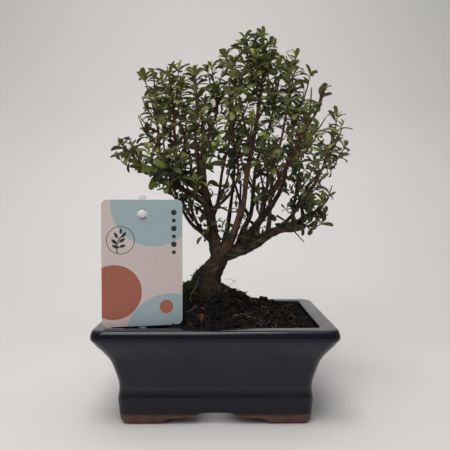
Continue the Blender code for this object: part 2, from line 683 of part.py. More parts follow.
def blade_points(root, outward, up, length, width, arch):
    """The six outline points of a leaf blade: root, two on each side, and tip."""
    side = outward.cross(up).normalized()
    (first_share, first), (second_share, second) = LEAF_OUTLINE
    middle = [root + outward * length * s - up * arch * length * s * s
              for s in (0.0, first_share, second_share, 1.0)]
    half = width / 2
    return [middle[0], middle[1] + side * half * first, middle[2] + side * half * second, middle[3],
            middle[2] - side * half * second, middle[1] - side * half * first]


def blade_object(name, points, collection):
    """A leaf blade: a thin arched sheet, thickened evenly on both sides."""
    bm = bmesh.new()
    vertices = [bm.verts.new(point) for point in points]
    for face in BLADE_FACES:
        bm.faces.new([vertices[i] for i in face])
    mesh = bpy.data.meshes.new(name)
    bm.to_mesh(mesh)
    bm.free()
    obj = bpy.data.objects.new(name, mesh)
    collection.objects.link(obj)
    solid = obj.modifiers.new("thickness", "SOLIDIFY")
    solid.thickness = LEAF_THICKNESS * MM
    solid.offset = 0.0
    solid.use_even_offset = True
    return obj


def blade_tree(points, up, clearance):
    """A tree of a blade swollen by a clearance, without its root, to test what it would touch."""
    centre = sum(points, Vector()) / len(points)
    grown = [point + (point - centre).normalized() * clearance for point in points]
    grown[0] = points[0].lerp(centre, 0.22)
    lift = up * (LEAF_THICKNESS / 2 * MM + clearance)
    vertices = [point + lift for point in grown] + [point - lift for point in grown]
    count = len(points)
    faces = [face for face in BLADE_FACES] + [tuple(i + count for i in face) for face in BLADE_FACES]
    faces += [(i, (i + 1) % count, (i + 1) % count + count, i + count) for i in range(count)]
    return tree_of(vertices, faces)


def box_of(points, margin):
    low = Vector([min(p[k] for p in points) - margin for k in range(3)])
    high = Vector([max(p[k] for p in points) + margin for k in range(3)])
    return low, high


def boxes_meet(a, b):
    return all(a[0][k] <= b[1][k] and b[0][k] <= a[1][k] for k in range(3))


def is_clear(tree, bounds, obstacles):
    return not any(boxes_meet(bounds, other_bounds) and tree.overlap(other)
                   for other, other_bounds in obstacles)


def lay_out_stems(wood_tree):
    """Centre points for every shoot's stem, each moved a little until it is clear of the rest."""
    random_tip = random.Random(LEAF_SEED)
    stems, obstacles = [], []
    for name, share, tip_mm, _ in SHOOTS:
        route = WOOD[name]
        for attempt in range(STEM_TRIES):
            reach = 0.5 * attempt
            shift = Vector([random_tip.uniform(-reach, reach) for _ in range(3)])
            tip = tree_vector(Vector(tip_mm) + (shift if attempt else Vector()))
            seat, normal = shoot_seat(route, share, tip, wood_tree)
            points = shoot_stem(seat, normal, tip)
            test_points = [points[0].lerp(points[1], 0.9)] + points[1:]
            tree = round_tube_tree(test_points, stem_radii(len(test_points), STEM_ROOM))
            bounds = box_of(points, 1.5 * MM)
            if not tree.overlap(wood_tree) and is_clear(tree, bounds, obstacles):
                break
        else:
            raise RuntimeError(f"no clear way for the shoot on {name} at {share}")
        stems.append(points)
        obstacles.append((tree, bounds))
    return stems, obstacles


def place_leaves(stem, count, stem_obstacles, own_obstacle, leaf_obstacles, wood_tree, dice):
    """Blades in a golden-angle spiral up a stem, each turned until it touches nothing else."""
    blades = []
    first_turn = dice.uniform(0.0, 2 * math.pi)
    for i in range(count):
        share = FIRST_LEAF + (1.0 - FIRST_LEAF) * i / (count - 1)
        root, direction = point_along(stem, min(share, 0.985))
        length = dice.uniform(*LEAF_LENGTH) * (1.0 - TIP_SHRINK * share) * MM
        width = length * LEAF_WIDTH_SHARE * dice.uniform(0.9, 1.12)
        arch = LEAF_ARCH * dice.uniform(0.4, 1.3)
        is_tip = i == count - 1
        base_pitch = TIP_LEAF_PITCH if is_tip else LEAF_PITCH[0] + (LEAF_PITCH[1] - LEAF_PITCH[0]) * share
        for turn, pitch, size in LEAF_TRIES:
            angle = first_turn + i * GOLDEN_TURN + math.radians(turn)
            lean = math.radians(base_pitch + pitch)
            u = any_perpendicular(direction)
            side = u * math.cos(angle) + direction.cross(u) * math.sin(angle)
            outward = (direction * math.cos(lean) + side * math.sin(lean)).normalized()
            up = (direction - outward * direction.dot(outward)).normalized()
            points = blade_points(root, outward, up, length * size, width * size, arch)
            if max(abs(point.y) for point in points) > CROWN_HALF_DEPTH * MM:
                continue
            tree = blade_tree(points, up, LEAF_ROOM * MM)
            bounds = box_of(points, 1.0 * MM)
            others = [entry for entry in stem_obstacles if entry is not own_obstacle]
            if tree.overlap(wood_tree) or not is_clear(tree, bounds, others):
                continue
            if is_clear(tree, bounds, leaf_obstacles):
                blades.append(points)
                leaf_obstacles.append((tree, bounds))
                break
    return blades


def build_shoots(parts, wood):
    """One node for each leafy shoot: a stem with its leaves fused to it."""
    wood_tree = object_tree(wood)
    stems, stem_obstacles = lay_out_stems(wood_tree)
    dice = random.Random(LEAF_SEED + 1)
    leaf_obstacles = []
    for number, (stem, shoot) in enumerate(zip(stems, SHOOTS), 1):
        blades = place_leaves(stem, shoot[3], stem_obstacles, stem_obstacles[number - 1], leaf_obstacles,
                              wood_tree, dice)
        radii = stem_radii(len(stem))
        route = [(*(point / MM), radius / MM) for point, radius in zip(stem, radii)]
        obj = tube(f"shoot_{number:02d}", route, STEM_SIDES, parts)
        obj.data.materials.append(finish_material("green_leaf"))
        leaves = new_collection("leaves")
        for i, points in enumerate(blades):
            blade_object(f"leaf_{i}", points, leaves)
        bpy.context.view_layer.update()
        fuse(obj, leaves)


def centre_outline(parts, cutters):
    """Moves everything along X and Y so that the part's outline is centred on the origin."""
    bpy.context.view_layer.update()
    corners = [obj.matrix_world @ Vector(corner) for obj in parts.objects for corner in obj.bound_box]
    low, high = box_of(corners, 0.0)
    shift = Matrix.Translation(Vector((-(low.x + high.x) / 2, -(low.y + high.y) / 2, 0.0)))
    for obj in [*parts.objects, *cutters.objects]:
        obj.matrix_world = shift @ obj.matrix_world


def main():
    clear_scene()
    parts = new_collection("cotoneaster_bonsai")
    cutters = new_collection("cutters")
    build_pot(parts, cutters)
    build_drain_screens(parts)
    wood = build_wood(parts)
    build_soil(parts, cutters)
    build_label_card(parts)
    build_label_stake(parts)
    build_shoots(parts, wood)
    centre_outline(parts, cutters)


main()
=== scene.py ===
"""Cotoneaster bonsai in a glazed pot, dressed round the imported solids.

The file is laid out as a Blender add-on and run as a script. Blender works in metres here. Sizes,
routes and profiles below are in millimetres, the pot's and the label's from the middle of the pot,
the tree's from TREE_FOOT. Each piece's origin is the middle of the pot, or of the card, so its
finish is laid out in the piece's own millimetres.
"""

import json
import random
from math import cos, exp, hypot, pi, radians, sin

import bmesh
import bpy
import numpy as np
from mathutils import Matrix, Vector, noise
from numpy.linalg import norm

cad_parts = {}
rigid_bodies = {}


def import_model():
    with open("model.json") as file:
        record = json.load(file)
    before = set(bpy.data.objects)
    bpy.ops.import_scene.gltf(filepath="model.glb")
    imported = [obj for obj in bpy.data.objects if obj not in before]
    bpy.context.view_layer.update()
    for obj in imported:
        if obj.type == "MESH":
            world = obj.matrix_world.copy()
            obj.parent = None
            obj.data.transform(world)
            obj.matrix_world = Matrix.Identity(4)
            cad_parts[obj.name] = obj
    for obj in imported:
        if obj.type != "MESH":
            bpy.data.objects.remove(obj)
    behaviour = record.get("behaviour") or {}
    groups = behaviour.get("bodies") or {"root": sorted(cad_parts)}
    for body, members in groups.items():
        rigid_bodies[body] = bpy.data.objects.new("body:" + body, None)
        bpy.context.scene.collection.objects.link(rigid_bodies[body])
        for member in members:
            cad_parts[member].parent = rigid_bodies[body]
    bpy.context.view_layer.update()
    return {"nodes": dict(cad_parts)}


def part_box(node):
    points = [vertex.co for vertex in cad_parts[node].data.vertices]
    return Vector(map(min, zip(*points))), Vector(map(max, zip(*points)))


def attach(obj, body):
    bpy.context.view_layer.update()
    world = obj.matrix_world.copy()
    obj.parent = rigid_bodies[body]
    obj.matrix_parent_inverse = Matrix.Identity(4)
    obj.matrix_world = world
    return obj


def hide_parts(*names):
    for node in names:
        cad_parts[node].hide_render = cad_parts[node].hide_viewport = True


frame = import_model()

bl_info = {
    "name": "Cotoneaster Bonsai",
    "version": (1, 0, 0),
    "blender": (4, 5, 0),
    "location": "3D View > Sidebar > Bonsai",
    "description": "Builds a cotoneaster bonsai in a glazed pot with a plant label",
    "category": "Add Mesh",
}

POT_LOW, POT_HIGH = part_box("pot")
POT_MIDDLE = Vector(((POT_LOW.x + POT_HIGH.x) / 2, (POT_LOW.y + POT_HIGH.y) / 2, 0.0))

MM = 0.001
GOLDEN_TURN = radians(137.5)
UP = np.array((0.0, 0.0, 1.0))

# Pot
DEPTH_INSET = 21.65       # how much less the half depth is than the half width
FOOT_WALL = (             # half width, height and corner radius, from the ground to the groove
    (63.2, 0, 5), (65.6, 1.8, 6), (66.6, 5.5, 6.5), (67, 11, 6.5), (67.6, 16, 7),
    (67.6, 18.4, 7), (67.15, 21, 6.8), (66.8, 23.4, 6.5),
)
FLARED_WALL = (           # from the groove to the rim
    (66.8, 23.4, 6.5), (66.8, 25.6, 6.5), (67.2, 29.5, 6.5), (69, 36, 7), (72, 45, 7.5),
    (76.2, 52, 8), (79.4, 56.2, 8.5), (81.8, 59.8, 9), (83.2, 62.4, 9), (82.4, 66.5, 9),
    (81.4, 67.9, 8.5),
)
RIM_TOP = ((81.4, 67.9, 8.5), (79.6, 68.3, 8), (72.6, 68.2, 5.5), (71, 67.6, 5))
WALL_INSIDE = (           # from the rim to the floor
    (71, 67.6, 5), (70.4, 65, 5), (68.2, 55, 5), (62.6, 40, 4.5), (58.6, 23, 4.5),
    (56.5, 14, 4),
)
FOOT_CUT = ((37.6, 1), (32.5, 4.1), (21, 5.1), (15.6, 5.7), (12.6, 7.6), (10.2, 8.4), (4, 8.7))
SIDE_CUT_SHARE = (0.55, 0.9)
CUT_LENGTH = 180.0
DRAIN_HOLE_RADIUS = 7.0
DRAIN_HOLE_X = 30.0
GLAZE_THICKNESS = 0.22
GLAZE_EDGE_WAVES = 0.7    # how far the glaze's lower edge wanders up and down
EDGE_ROUNDING = 0.45

# Soil
SOIL_EDGE_HEIGHT = 64.5
SOIL_EDGE_WIDTH = 69.8
SOIL_BODY = (             # half width, height and corner radius, from the floor of the pot to the soil's edge
    (58.3, 14.3, 4.5), (62.3, 40, 4.5), (67.9, 55, 5), (SOIL_EDGE_WIDTH, SOIL_EDGE_HEIGHT - 1.4, 5),
)
LARGE_CRUMBS = (          # x, y, radius
    (20, 6, 3.2), (23.5, 8, 2.6), (9, 3, 2.2), (30, 14, 2.8), (40, 30, 2.6), (14, 0, 2.4),
)
CRUMB_SPREAD, CRUMB_LIMIT = 0.45, 2.6    # of the crumbs' sizes, as a logarithm and as a share of the middling one
BESIDE_CARD = -18.0       # crumbs by the foot of the card, left of this x, are small
SMALL_SHARE = 0.45
SOIL_TOP_ROWS = 78        # rows of points from the edge to the middle
MOUND = (                 # centre x, y, spread, height above the edge
    (-9, 4, 24, 20), (-30, 0, 17, 8), (17, 11, 12, 6.8), (38, 36, 13, 5),
)

# Label
CARD_SIZE = (54.0, 85.6, 0.8)
CARD_CORNER = 4.0
CARD_ROUNDING = 0.14
CARD_CENTRE = (-49.4, -45.5, 111.4)
CARD_TURN = radians(9.8)
HOLE_BELOW_TOP = 9.6
HOLE_RADIUS = 3.2
PEG_RADIUS = 2.8
PEG_REACH = 1.4           # in front of the card
STAKE_SIZE = (5.0, 1.6)
STAKE_TOP_OVER_CARD = 3.2
STAKE_FOOT = 53.0
STAKE_ROOM = 0.3          # between the card and the stake

# Wood: each route is a list of x, y, z and radius, and starts inside its parent
TREE_FOOT = (2.4, 0.0, 3.0)
WOOD = {
    "trunk": ((-10, 2, 66, 12), (-9.5, 2, 80, 13), (-9.4, 2, 90, 10.2), (-4.8, 1, 99, 7), (-0.2, 0, 107, 5.9),
        (-0.4, 0, 115, 5.6)),
    "root_left": ((-12, 0, 85, 6.5), (-23, -3, 83, 5.4), (-35, -7, 76, 4), (-43, -9, 68, 2.6)),
    "root_front": ((-8, -2, 83, 6), (-10, -12, 76, 4.8), (-12, -20, 67, 3.2)),
    "root_right": ((-6, 2, 84, 6.5), (5, 5, 77, 5), (12, 8, 68, 3.4)),
    "root_back": ((-10, 6, 86, 6.5), (-14, 18, 80, 5), (-17, 27, 69, 3)),
    "low_right": ((0, 0, 109, 5.6), (16, 2, 114, 5), (28, 2, 119, 4.2), (39, 3, 126, 3.6), (54, 4, 132, 3),
        (66, 3, 138, 2.4), (77, 1, 145, 1.8)),
    "pruned_stub": ((46, 3, 129, 2.8), (57, 0, 130, 2.9), (65, -2, 132, 2.7)),
    "apex": ((2, -1, 111, 4), (9, -4, 122, 3.3), (14, -8, 136, 2.8), (18, -12, 150, 2.6), (20, -14, 168, 2.5),
        (23, -13, 186, 2.4), (27, -11, 206, 2.2), (30, -9, 226, 1.9), (32, -8, 242, 1.5), (33, -8, 252, 1.1)),
    "dark_centre": ((14, 3, 114, 3.4), (19, 7, 129, 2.7), (25, 11, 143, 2.4), (27, 14, 162, 2.1), (30, 18, 184, 1.8),
        (39, 20, 208, 1.5), (44, 18, 230, 1.1)),
    "front_right": ((28, 2, 120, 2.6), (30, -3, 134, 2.1), (33, -10, 152, 1.8), (38, -20, 172, 1.6),
        (44, -26, 194, 1.3), (47, -29, 212, 1)),
    "right_middle": ((16, 4, 116, 3.4), (27, 9, 130, 3), (39, 13, 145, 2.7), (49, 15, 161, 2.4), (54, 16, 182, 2),
        (58, 17, 206, 1.7), (56, 17, 230, 1.1)),
    "right_lean": ((53, 16, 178, 2.1), (60, 12, 190, 1.8), (68, 8, 208, 1.5), (74, 5, 218, 1.1)),
    "right_upright": ((37, 3, 125, 2.8), (38, -3, 137, 2.3), (39, -9, 156, 2), (49, -18, 176, 1.7),
        (58, -27, 198, 1.4), (62, -32, 208, 1)),
    "right_back": ((57, 4, 134, 2.2), (58, 10, 144, 1.8), (62, 22, 160, 1.5), (66, 32, 178, 1.1)),
    "right_outer": ((65, 3, 138, 2), (63, 1, 150, 1.8), (68, 0, 163, 1.7), (77, -1, 173, 1.5), (83, -2, 186, 1.2)),
    "front_low_right": ((46, 3, 129, 2.2), (54, -9, 140, 1.8), (62, -20, 152, 1.4), (68, -27, 162, 1.1)),
    "centre_left": ((-2, 0, 111, 5), (-5, 2, 127, 4.1), (-7, 4, 140, 3.8), (-10, 5, 153, 3.4), (-13, 6, 170, 3),
        (-12, 7, 196, 2.6)),
    "centre_left_a": ((-12, 7, 194, 2.3), (-13, 8, 210, 1.8), (-16, 8, 222, 1.2)),
    "centre_left_b": ((-12, 7, 192, 2.4), (-6, 10, 208, 2), (-2, 13, 222, 1.6), (-2, 14, 234, 1.1)),
    "centre_back": ((-6, 4, 138, 2.6), (-1, 12, 152, 1.9), (2, 20, 174, 1.6), (8, 25, 200, 1.5), (13, 25, 222, 1.3),
        (13, 23, 240, 1)),
    "centre_front": ((-7, 4, 144, 2), (4, 3, 152, 1.6), (10, 1, 160, 1.4), (14, -2, 170, 1.3), (13, -12, 184, 1.3),
        (9, -24, 202, 1.2), (7, -30, 218, 1)),
    "red_front": ((-3, -1, 118, 2.8), (-6, -7, 134, 2.1), (-10, -11, 152, 1.8), (-15, -17, 172, 1.6),
        (-17, -25, 192, 1.3), (-16, -30, 210, 1)),
    "left": ((-9, 4, 148, 3.2), (-19, 2, 155, 2.8), (-32, -1, 162, 2.5), (-46, -4, 169, 2.1), (-57, -6, 176, 1.6),
        (-64, -8, 184, 1.2)),
    "left_upper": ((-11, 5, 156, 2.6), (-22, 9, 163, 2.1), (-35, 13, 172, 1.7), (-46, 20, 184, 1.1)),
    "left_outer": ((-45, -4, 168, 2.2), (-46, 0, 182, 1.9), (-47, 4, 204, 1.6), (-50, 6, 220, 1.1)),
    "left_inner": ((-31, -1, 162, 2.2), (-32, -6, 176, 1.9), (-33, -11, 198, 1.6), (-34, -13, 222, 1.1)),
    "left_back": ((-33, 12, 171, 1.8), (-30, 18, 186, 1.6), (-28, 25, 204, 1.3), (-27, 27, 216, 1)),
    "low_left": ((-2, 0, 115, 2.9), (-11, -3, 125, 2.2), (-21, -8, 134, 1.9), (-29, -13, 148, 1.6),
        (-35, -20, 166, 1.2), (-38, -25, 180, 1)),
    "low_left_back": ((-10, -3, 124, 2.2), (-18, 4, 135, 1.8), (-23, 14, 148, 1.5), (-27, 30, 166, 1.2),
        (-29, 38, 180, 1)),
    "back_left": ((-5, 2, 126, 3), (-8, 14, 141, 2.4), (-12, 26, 160, 1.9), (-14, 37, 184, 1.4), (-15, 43, 206, 1)),
    "back_right": ((22, 2, 116, 3), (29, 14, 128, 2.4), (36, 27, 145, 2), (40, 38, 168, 1.5), (40, 44, 192, 1.1)),
    "back_centre": ((2, 1, 112, 3.4), (6, 13, 128, 2.6), (9, 27, 148, 2.1), (12, 38, 174, 1.7), (12, 43, 204, 1.3),
        (11, 44, 224, 1)),
}
# Leafy shoots of the solids, in their order: share of the limb's length, and x, y, z of the tip from TREE_FOOT
SHOOTS = {
    "apex": ((1, 33, -8, 272), (0.86, 19, -13, 268), (0.72, 42, -20, 246), (0.6, 14, -22, 226)),
    "dark_centre": ((1, 45, 18, 252), (0.66, 24, 30, 214), (0.5, 44, 26, 190)),
    "front_right": ((1, 49, -31, 238), (0.6, 30, -36, 192)),
    "right_middle": ((1, 54, 16, 255), (0.84, 67, 15, 239), (0.6, 70, 30, 212)),
    "right_lean": ((1, 78, 4, 235), (0.45, 80, -4, 214)),
    "right_upright": ((1, 64, -34, 229), (0.62, 70, -34, 200)),
    "right_back": ((1, 71, 38, 202), (0.55, 76, 22, 180)),
    "right_outer": ((1, 89, -2, 214), (0.8, 93, -8, 190), (0.4, 54, -10, 178)),
    "low_right": ((1, 86, -1, 163), (0.78, 80, 12, 133)),
    "front_low_right": ((1, 74, -36, 184),),
    "centre_left_a": ((1, -20, 8, 245), (0.5, -30, 4, 232)),
    "centre_left_b": ((1, -6, 12, 254),),
    "centre_left": ((0.86, -2, -10, 208),),
    "centre_back": ((1, 13, 20, 262), (0.7, 24, 36, 234)),
    "centre_front": ((1, 8, -31, 242), (0.55, 24, -32, 206)),
    "red_front": ((1, -17, -33, 238), (0.6, -2, -32, 188)),
    "left": ((1, -75, -9, 197), (0.84, -72, -14, 180), (0.55, -50, -24, 186)),
    "left_upper": ((1, -58, 28, 206),),
    "left_outer": ((1, -57, 6, 243), (0.5, -62, 2, 216)),
    "left_inner": ((1, -36, -14, 244), (0.6, -46, -22, 222)),
    "left_back": ((1, -34, 28, 240),),
    "low_left": ((1, -40, -30, 204), (0.45, -16, -26, 164)),
    "low_left_back": ((1, -36, 42, 202),),
    "back_left": ((1, -12, 44, 232),),
    "back_right": ((1, 44, 44, 218), (0.55, 24, 42, 178)),
    "back_centre": ((1, 12, 42, 250),),
}
BURIED = ("trunk", "root_left", "root_front", "root_right", "root_back")
LEAFLESS = (*BURIED, "pruned_stub")
LIMB_SLIMMING = (0.70, 0.88)    # the bark of a thin and of a thick limb lies a little inside the solid
CARVED_STEP = 1.6         # between the rows of points of the carved wood
CARVED_VOXEL = 0.62
HEARTWOOD_RADIUS = 2.6    # wood thicker than this is carved as one piece with the trunk
FURROW_WIDTH = 1.9
FLUTES = (6, 104.0, 16.0)   # how many run up the root flare, the height where they end, and their run-out
FLARE_MIDDLE = (-7.0, 2.0)

# Where the leaves of a limb begin, as a share of its length, when it isn't the usual one
LEAFY_FROM_USUAL = 0.48
LEAFY_FROM = {
    "low_right": 0.8, "apex": 0.52, "right_middle": 0.5, "right_upright": 0.55,
    "centre_left": 0.66, "left": 0.34, "left_upper": 0.3, "low_left": 0.58, "back_left": 0.5,
    "front_right": 0.58, "back_right": 0.5, "back_centre": 0.5,
    "centre_left_a": 0.1, "centre_left_b": 0.1, "left_outer": 0.1, "left_inner": 0.08,
    "left_back": 0.1, "right_lean": 0.05, "right_back": 0.2, "front_low_right": 0.45,
    "right_outer": 0.55, "centre_front": 0.42, "centre_back": 0.45, "red_front": 0.55,
}

# Leafy shoots beyond those of the solids, written in the same way
CROWN_SHOOTS = {
    "apex": ((1, 27, -10, 269), (0.93, 40, -12, 262), (0.9, 14, -14, 262), (0.84, 6, -12, 255),
             (0.96, 34, 0, 267), (0.8, 26, -24, 252), (1, 22, -4, 266), (0.95, 31, -16, 270),
             (0.92, 18, -6, 268), (0.98, 38, -6, 266)),
    "dark_centre": ((1, 48, 14, 254), (0.9, 38, 10, 256)),
    "centre_back": ((1, 10, 16, 260),),
    "centre_left_b": ((1, 3, 10, 256), (0.9, -9, 12, 252)),
    "centre_left_a": ((1, -18, 4, 246),),
    "left_outer": ((1, -57, 4, 244), (0.96, -50, 0, 250), (0.88, -60, 8, 232), (0.9, -45, 10, 242),
                   (0.7, -61, 2, 216)),
    "left_inner": ((1, -38, -14, 249), (0.94, -30, -12, 246), (0.9, -42, -6, 240), (0.8, -27, -20, 234)),
    "right_lean": ((1, 80, 8, 238),),
    "right_middle": ((1, 60, 12, 262), (0.9, 71, 12, 249), (0.96, 52, 8, 263)),
    "right_outer": ((0.92, 92, -6, 206), (0.86, 84, -10, 200), (0.3, 76, -8, 166)),
    "low_right": ((0.9, 66, -14, 150), (0.96, 86, 10, 154), (0.9, 82, -6, 141)),
    "left": ((0.7, -40, -20, 178), (1, -76, -4, 199), (0.9, -66, -16, 198), (0.5, -28, -18, 180)),
    "low_left": ((0.6, -36, -22, 160),),
}

# The crown's outline seen from the front, on the plane through the middle of the pot: x and height over the table
CROWN_OUTLINE = (
    (20, 283), (30, 284), (36, 286), (39, 280), (45, 277), (43, 270), (46, 264), (51, 265), (53, 268),
    (64, 268), (66, 261), (71, 257), (80, 254), (81, 249), (70, 247), (66, 244), (67, 234), (75, 232),
    (79, 238), (81, 244), (85, 244), (85, 234), (95, 232), (95, 228), (82, 228), (77, 222), (76, 213),
    (81, 207), (86, 211), (88, 222), (92, 228), (101, 223), (102, 218), (96, 215), (101, 208), (96, 202),
    (103, 195), (103, 188), (97, 180), (90, 176), (82, 172), (80, 167), (84, 163), (92, 159), (87, 156),
    (82, 152), (85, 146), (82, 139), (88, 135), (85, 130), (77, 125), (67, 130), (53, 129), (35, 120),
    (18, 112), (-9, 112), (-17, 118), (-16, 127), (-22, 130), (-22, 143), (-31, 151), (-34, 156), (-42, 163),
    (-53, 169), (-60, 175), (-68, 176), (-70, 186), (-79, 189), (-81, 195), (-69, 202), (-58, 202),
    (-55, 210), (-54, 218), (-55, 228), (-54, 238), (-58, 245), (-58, 254), (-51, 254), (-43, 253),
    (-36, 255), (-29, 261), (-20, 259), (-9, 261), (-2, 264), (5, 270), (12, 270), (17, 276),
)

# Where single sprigs of old leaves stand out from the wood round the fork
SPROUTS = ((-5, -8, 135), (8, -10, 131), (22, -7, 126), (4, -12, 149), (-3, 12, 128), (14, 14, 134), (52, -5, 137))

# Limbs that stay in view between the leaves, and the heights over the table where they do
SHOWN_LIMBS = (("apex", 120, 246), ("left_inner", 170, 226), ("right_lean", 176, 226), ("dark_centre", 120, 190),
               ("centre_left", 118, 200), ("left", 150, 172), ("right_outer", 140, 200), ("right_middle", 118, 176),
               ("centre_left_a", 200, 226), ("left_outer", 170, 214), ("low_right", 110, 150))
SHOWN_FROM = (4.3, -381.6, 147.2)      # where they are looked at from

# Bark of the limbs: how red and how olive it is, dark grey-brown where neither is given
BARK_RED = {"apex": 1.0, "red_front": 0.9, "left_inner": 0.5, "right_upright": 0.45, "front_right": 0.6,
            "centre_front": 0.5, "left": 0.45, "right_lean": 0.4}
BARK_OLIVE = {"low_right": 0.45, "pruned_stub": 0.8, "right_outer": 0.9, "front_low_right": 0.8,
              "right_middle": 0.5, "right_back": 0.5, "right_upright": 0.5}


def length_property(name, description, default, low, high, precision=4):
    return bpy.props.FloatProperty(name=name, description=description, default=default, min=low, max=high,
                                   precision=precision, unit="LENGTH")


class BonsaiSizes(bpy.types.PropertyGroup):
    """Sizes that a user may change before building the tree."""

    leaf_length: length_property("Leaf length", "Length of a full-grown leaf with its stalk", 0.0130, 0.004, 0.02)
    leaf_slimness: bpy.props.FloatProperty(
        name="Leaf slimness", description="Width of a leaf as a share of its length",
        default=0.405, min=0.2, max=0.6, subtype="FACTOR")
    spur_spacing: length_property("Spur spacing", "Distance between the leafy spurs along a limb", 0.0050, 0.002, 0.02)
    shoot_leaf_spacing: length_property(
        "Shoot leaf spacing", "Distance between the leaves along a shoot", 0.0034, 0.001, 0.01)
    bark_relief: length_property("Bark relief", "Depth of the furrows in the bark of the trunk", 0.0013, 0.0, 0.003)
    crumb_size: length_property("Crumb size", "Radius of a middling crumb of soil", 0.0010, 0.0003, 0.003, 5)
    crumb_count: bpy.props.IntProperty(
        name="Crumbs", description="How many loose crumbs lie on the soil", default=1700, min=0, max=2400)
    fibre_count: bpy.props.IntProperty(
        name="Fibres", description="How many root fibres lie on the soil", default=95, min=0, max=600)
    glaze_edge: length_property("Glaze edge", "Height at which the glaze ends above the bare foot", 0.0066, 0.0, 0.02)


def colour_property(name, description, default):
    return bpy.props.FloatVectorProperty(name=name, description=description, default=default,
                                         subtype="COLOR", size=3, min=0.0, max=1.0)


class BonsaiColours(bpy.types.PropertyGroup):
    """Colours that a user may change before building the tree."""

    glaze: colour_property("Glaze", "Dark slate glaze of the pot", (0.0092, 0.0092, 0.0200))
    glaze_thin: colour_property("Thin glaze", "Glaze where it runs thin over an edge", (0.020, 0.019, 0.022))
    clay: colour_property("Clay", "Bare fired clay of the foot", (0.140, 0.074, 0.049))
    soil: colour_property("Soil", "Wet peaty soil", (0.0040, 0.0032, 0.0029))
    soil_brown: colour_property("Dry soil", "Drier crumbs on the soil", (0.022, 0.0148, 0.0105))
    fibre: colour_property("Fibre", "Pale root fibres", (0.230, 0.165, 0.120))
    moss: colour_property("Moss", "Moss on the root flare", (0.060, 0.075, 0.016))
    bark_dark_and_shade: colour_property("Dark bark", "Furrows and shaded bark", (0.012, 0.009, 0.0075))
    bark_brown: colour_property("Brown bark", "Ridges of the old bark", (0.098, 0.062, 0.043))
    bark_red: colour_property("Red bark", "Smooth bark of the younger limbs", (0.162, 0.077, 0.044))
    bark_olive: colour_property("Olive bark", "Bark of the right-hand limbs", (0.115, 0.095, 0.062))
    lichen: colour_property("Lichen", "Grey-green lichen on the trunk", (0.105, 0.120, 0.085))
    # The old leaf colour also stands for painted shade deep and low in the crown, and the young one for painted light
    # at its top and outside.
    leaf_old_and_shaded: colour_property("Old leaf", "Upper face of an old leaf", (0.014, 0.025, 0.014))
    leaf_grown: colour_property("Grown leaf", "Upper face of a grown leaf", (0.132, 0.147, 0.043))
    leaf_young_and_sunlit: colour_property("Young leaf", "Upper face of a leaf at a shoot's tip", (0.315, 0.338, 0.076))
    leaf_under: colour_property("Leaf underside", "Underside of the leaves", (0.205, 0.225, 0.098))
    label_ground: colour_property("Label ground", "Blush grey of the card", (0.580, 0.492, 0.470))
    label_blue: colour_property("Label blue", "Pale blue of the print", (0.318, 0.405, 0.430))
    label_clay: colour_property("Label red", "Brick red of the print", (0.380, 0.115, 0.072))
    label_ink: colour_property("Label ink", "Dark ink of the print", (0.016, 0.018, 0.018))
    label_tan: colour_property("Label tan", "Tan lines of the print", (0.560, 0.410, 0.290))
    stake: colour_property("Stake", "Milky clear plastic", (0.800, 0.810, 0.800))
    screen: colour_property("Drain screen", "Black moulded mesh", (0.012, 0.012, 0.012))


def rgba(colour):
    return (*colour[:3], 1.0)


def shaded(colour, share):
    """A colour made darker or lighter."""
    return [v * share for v in colour]


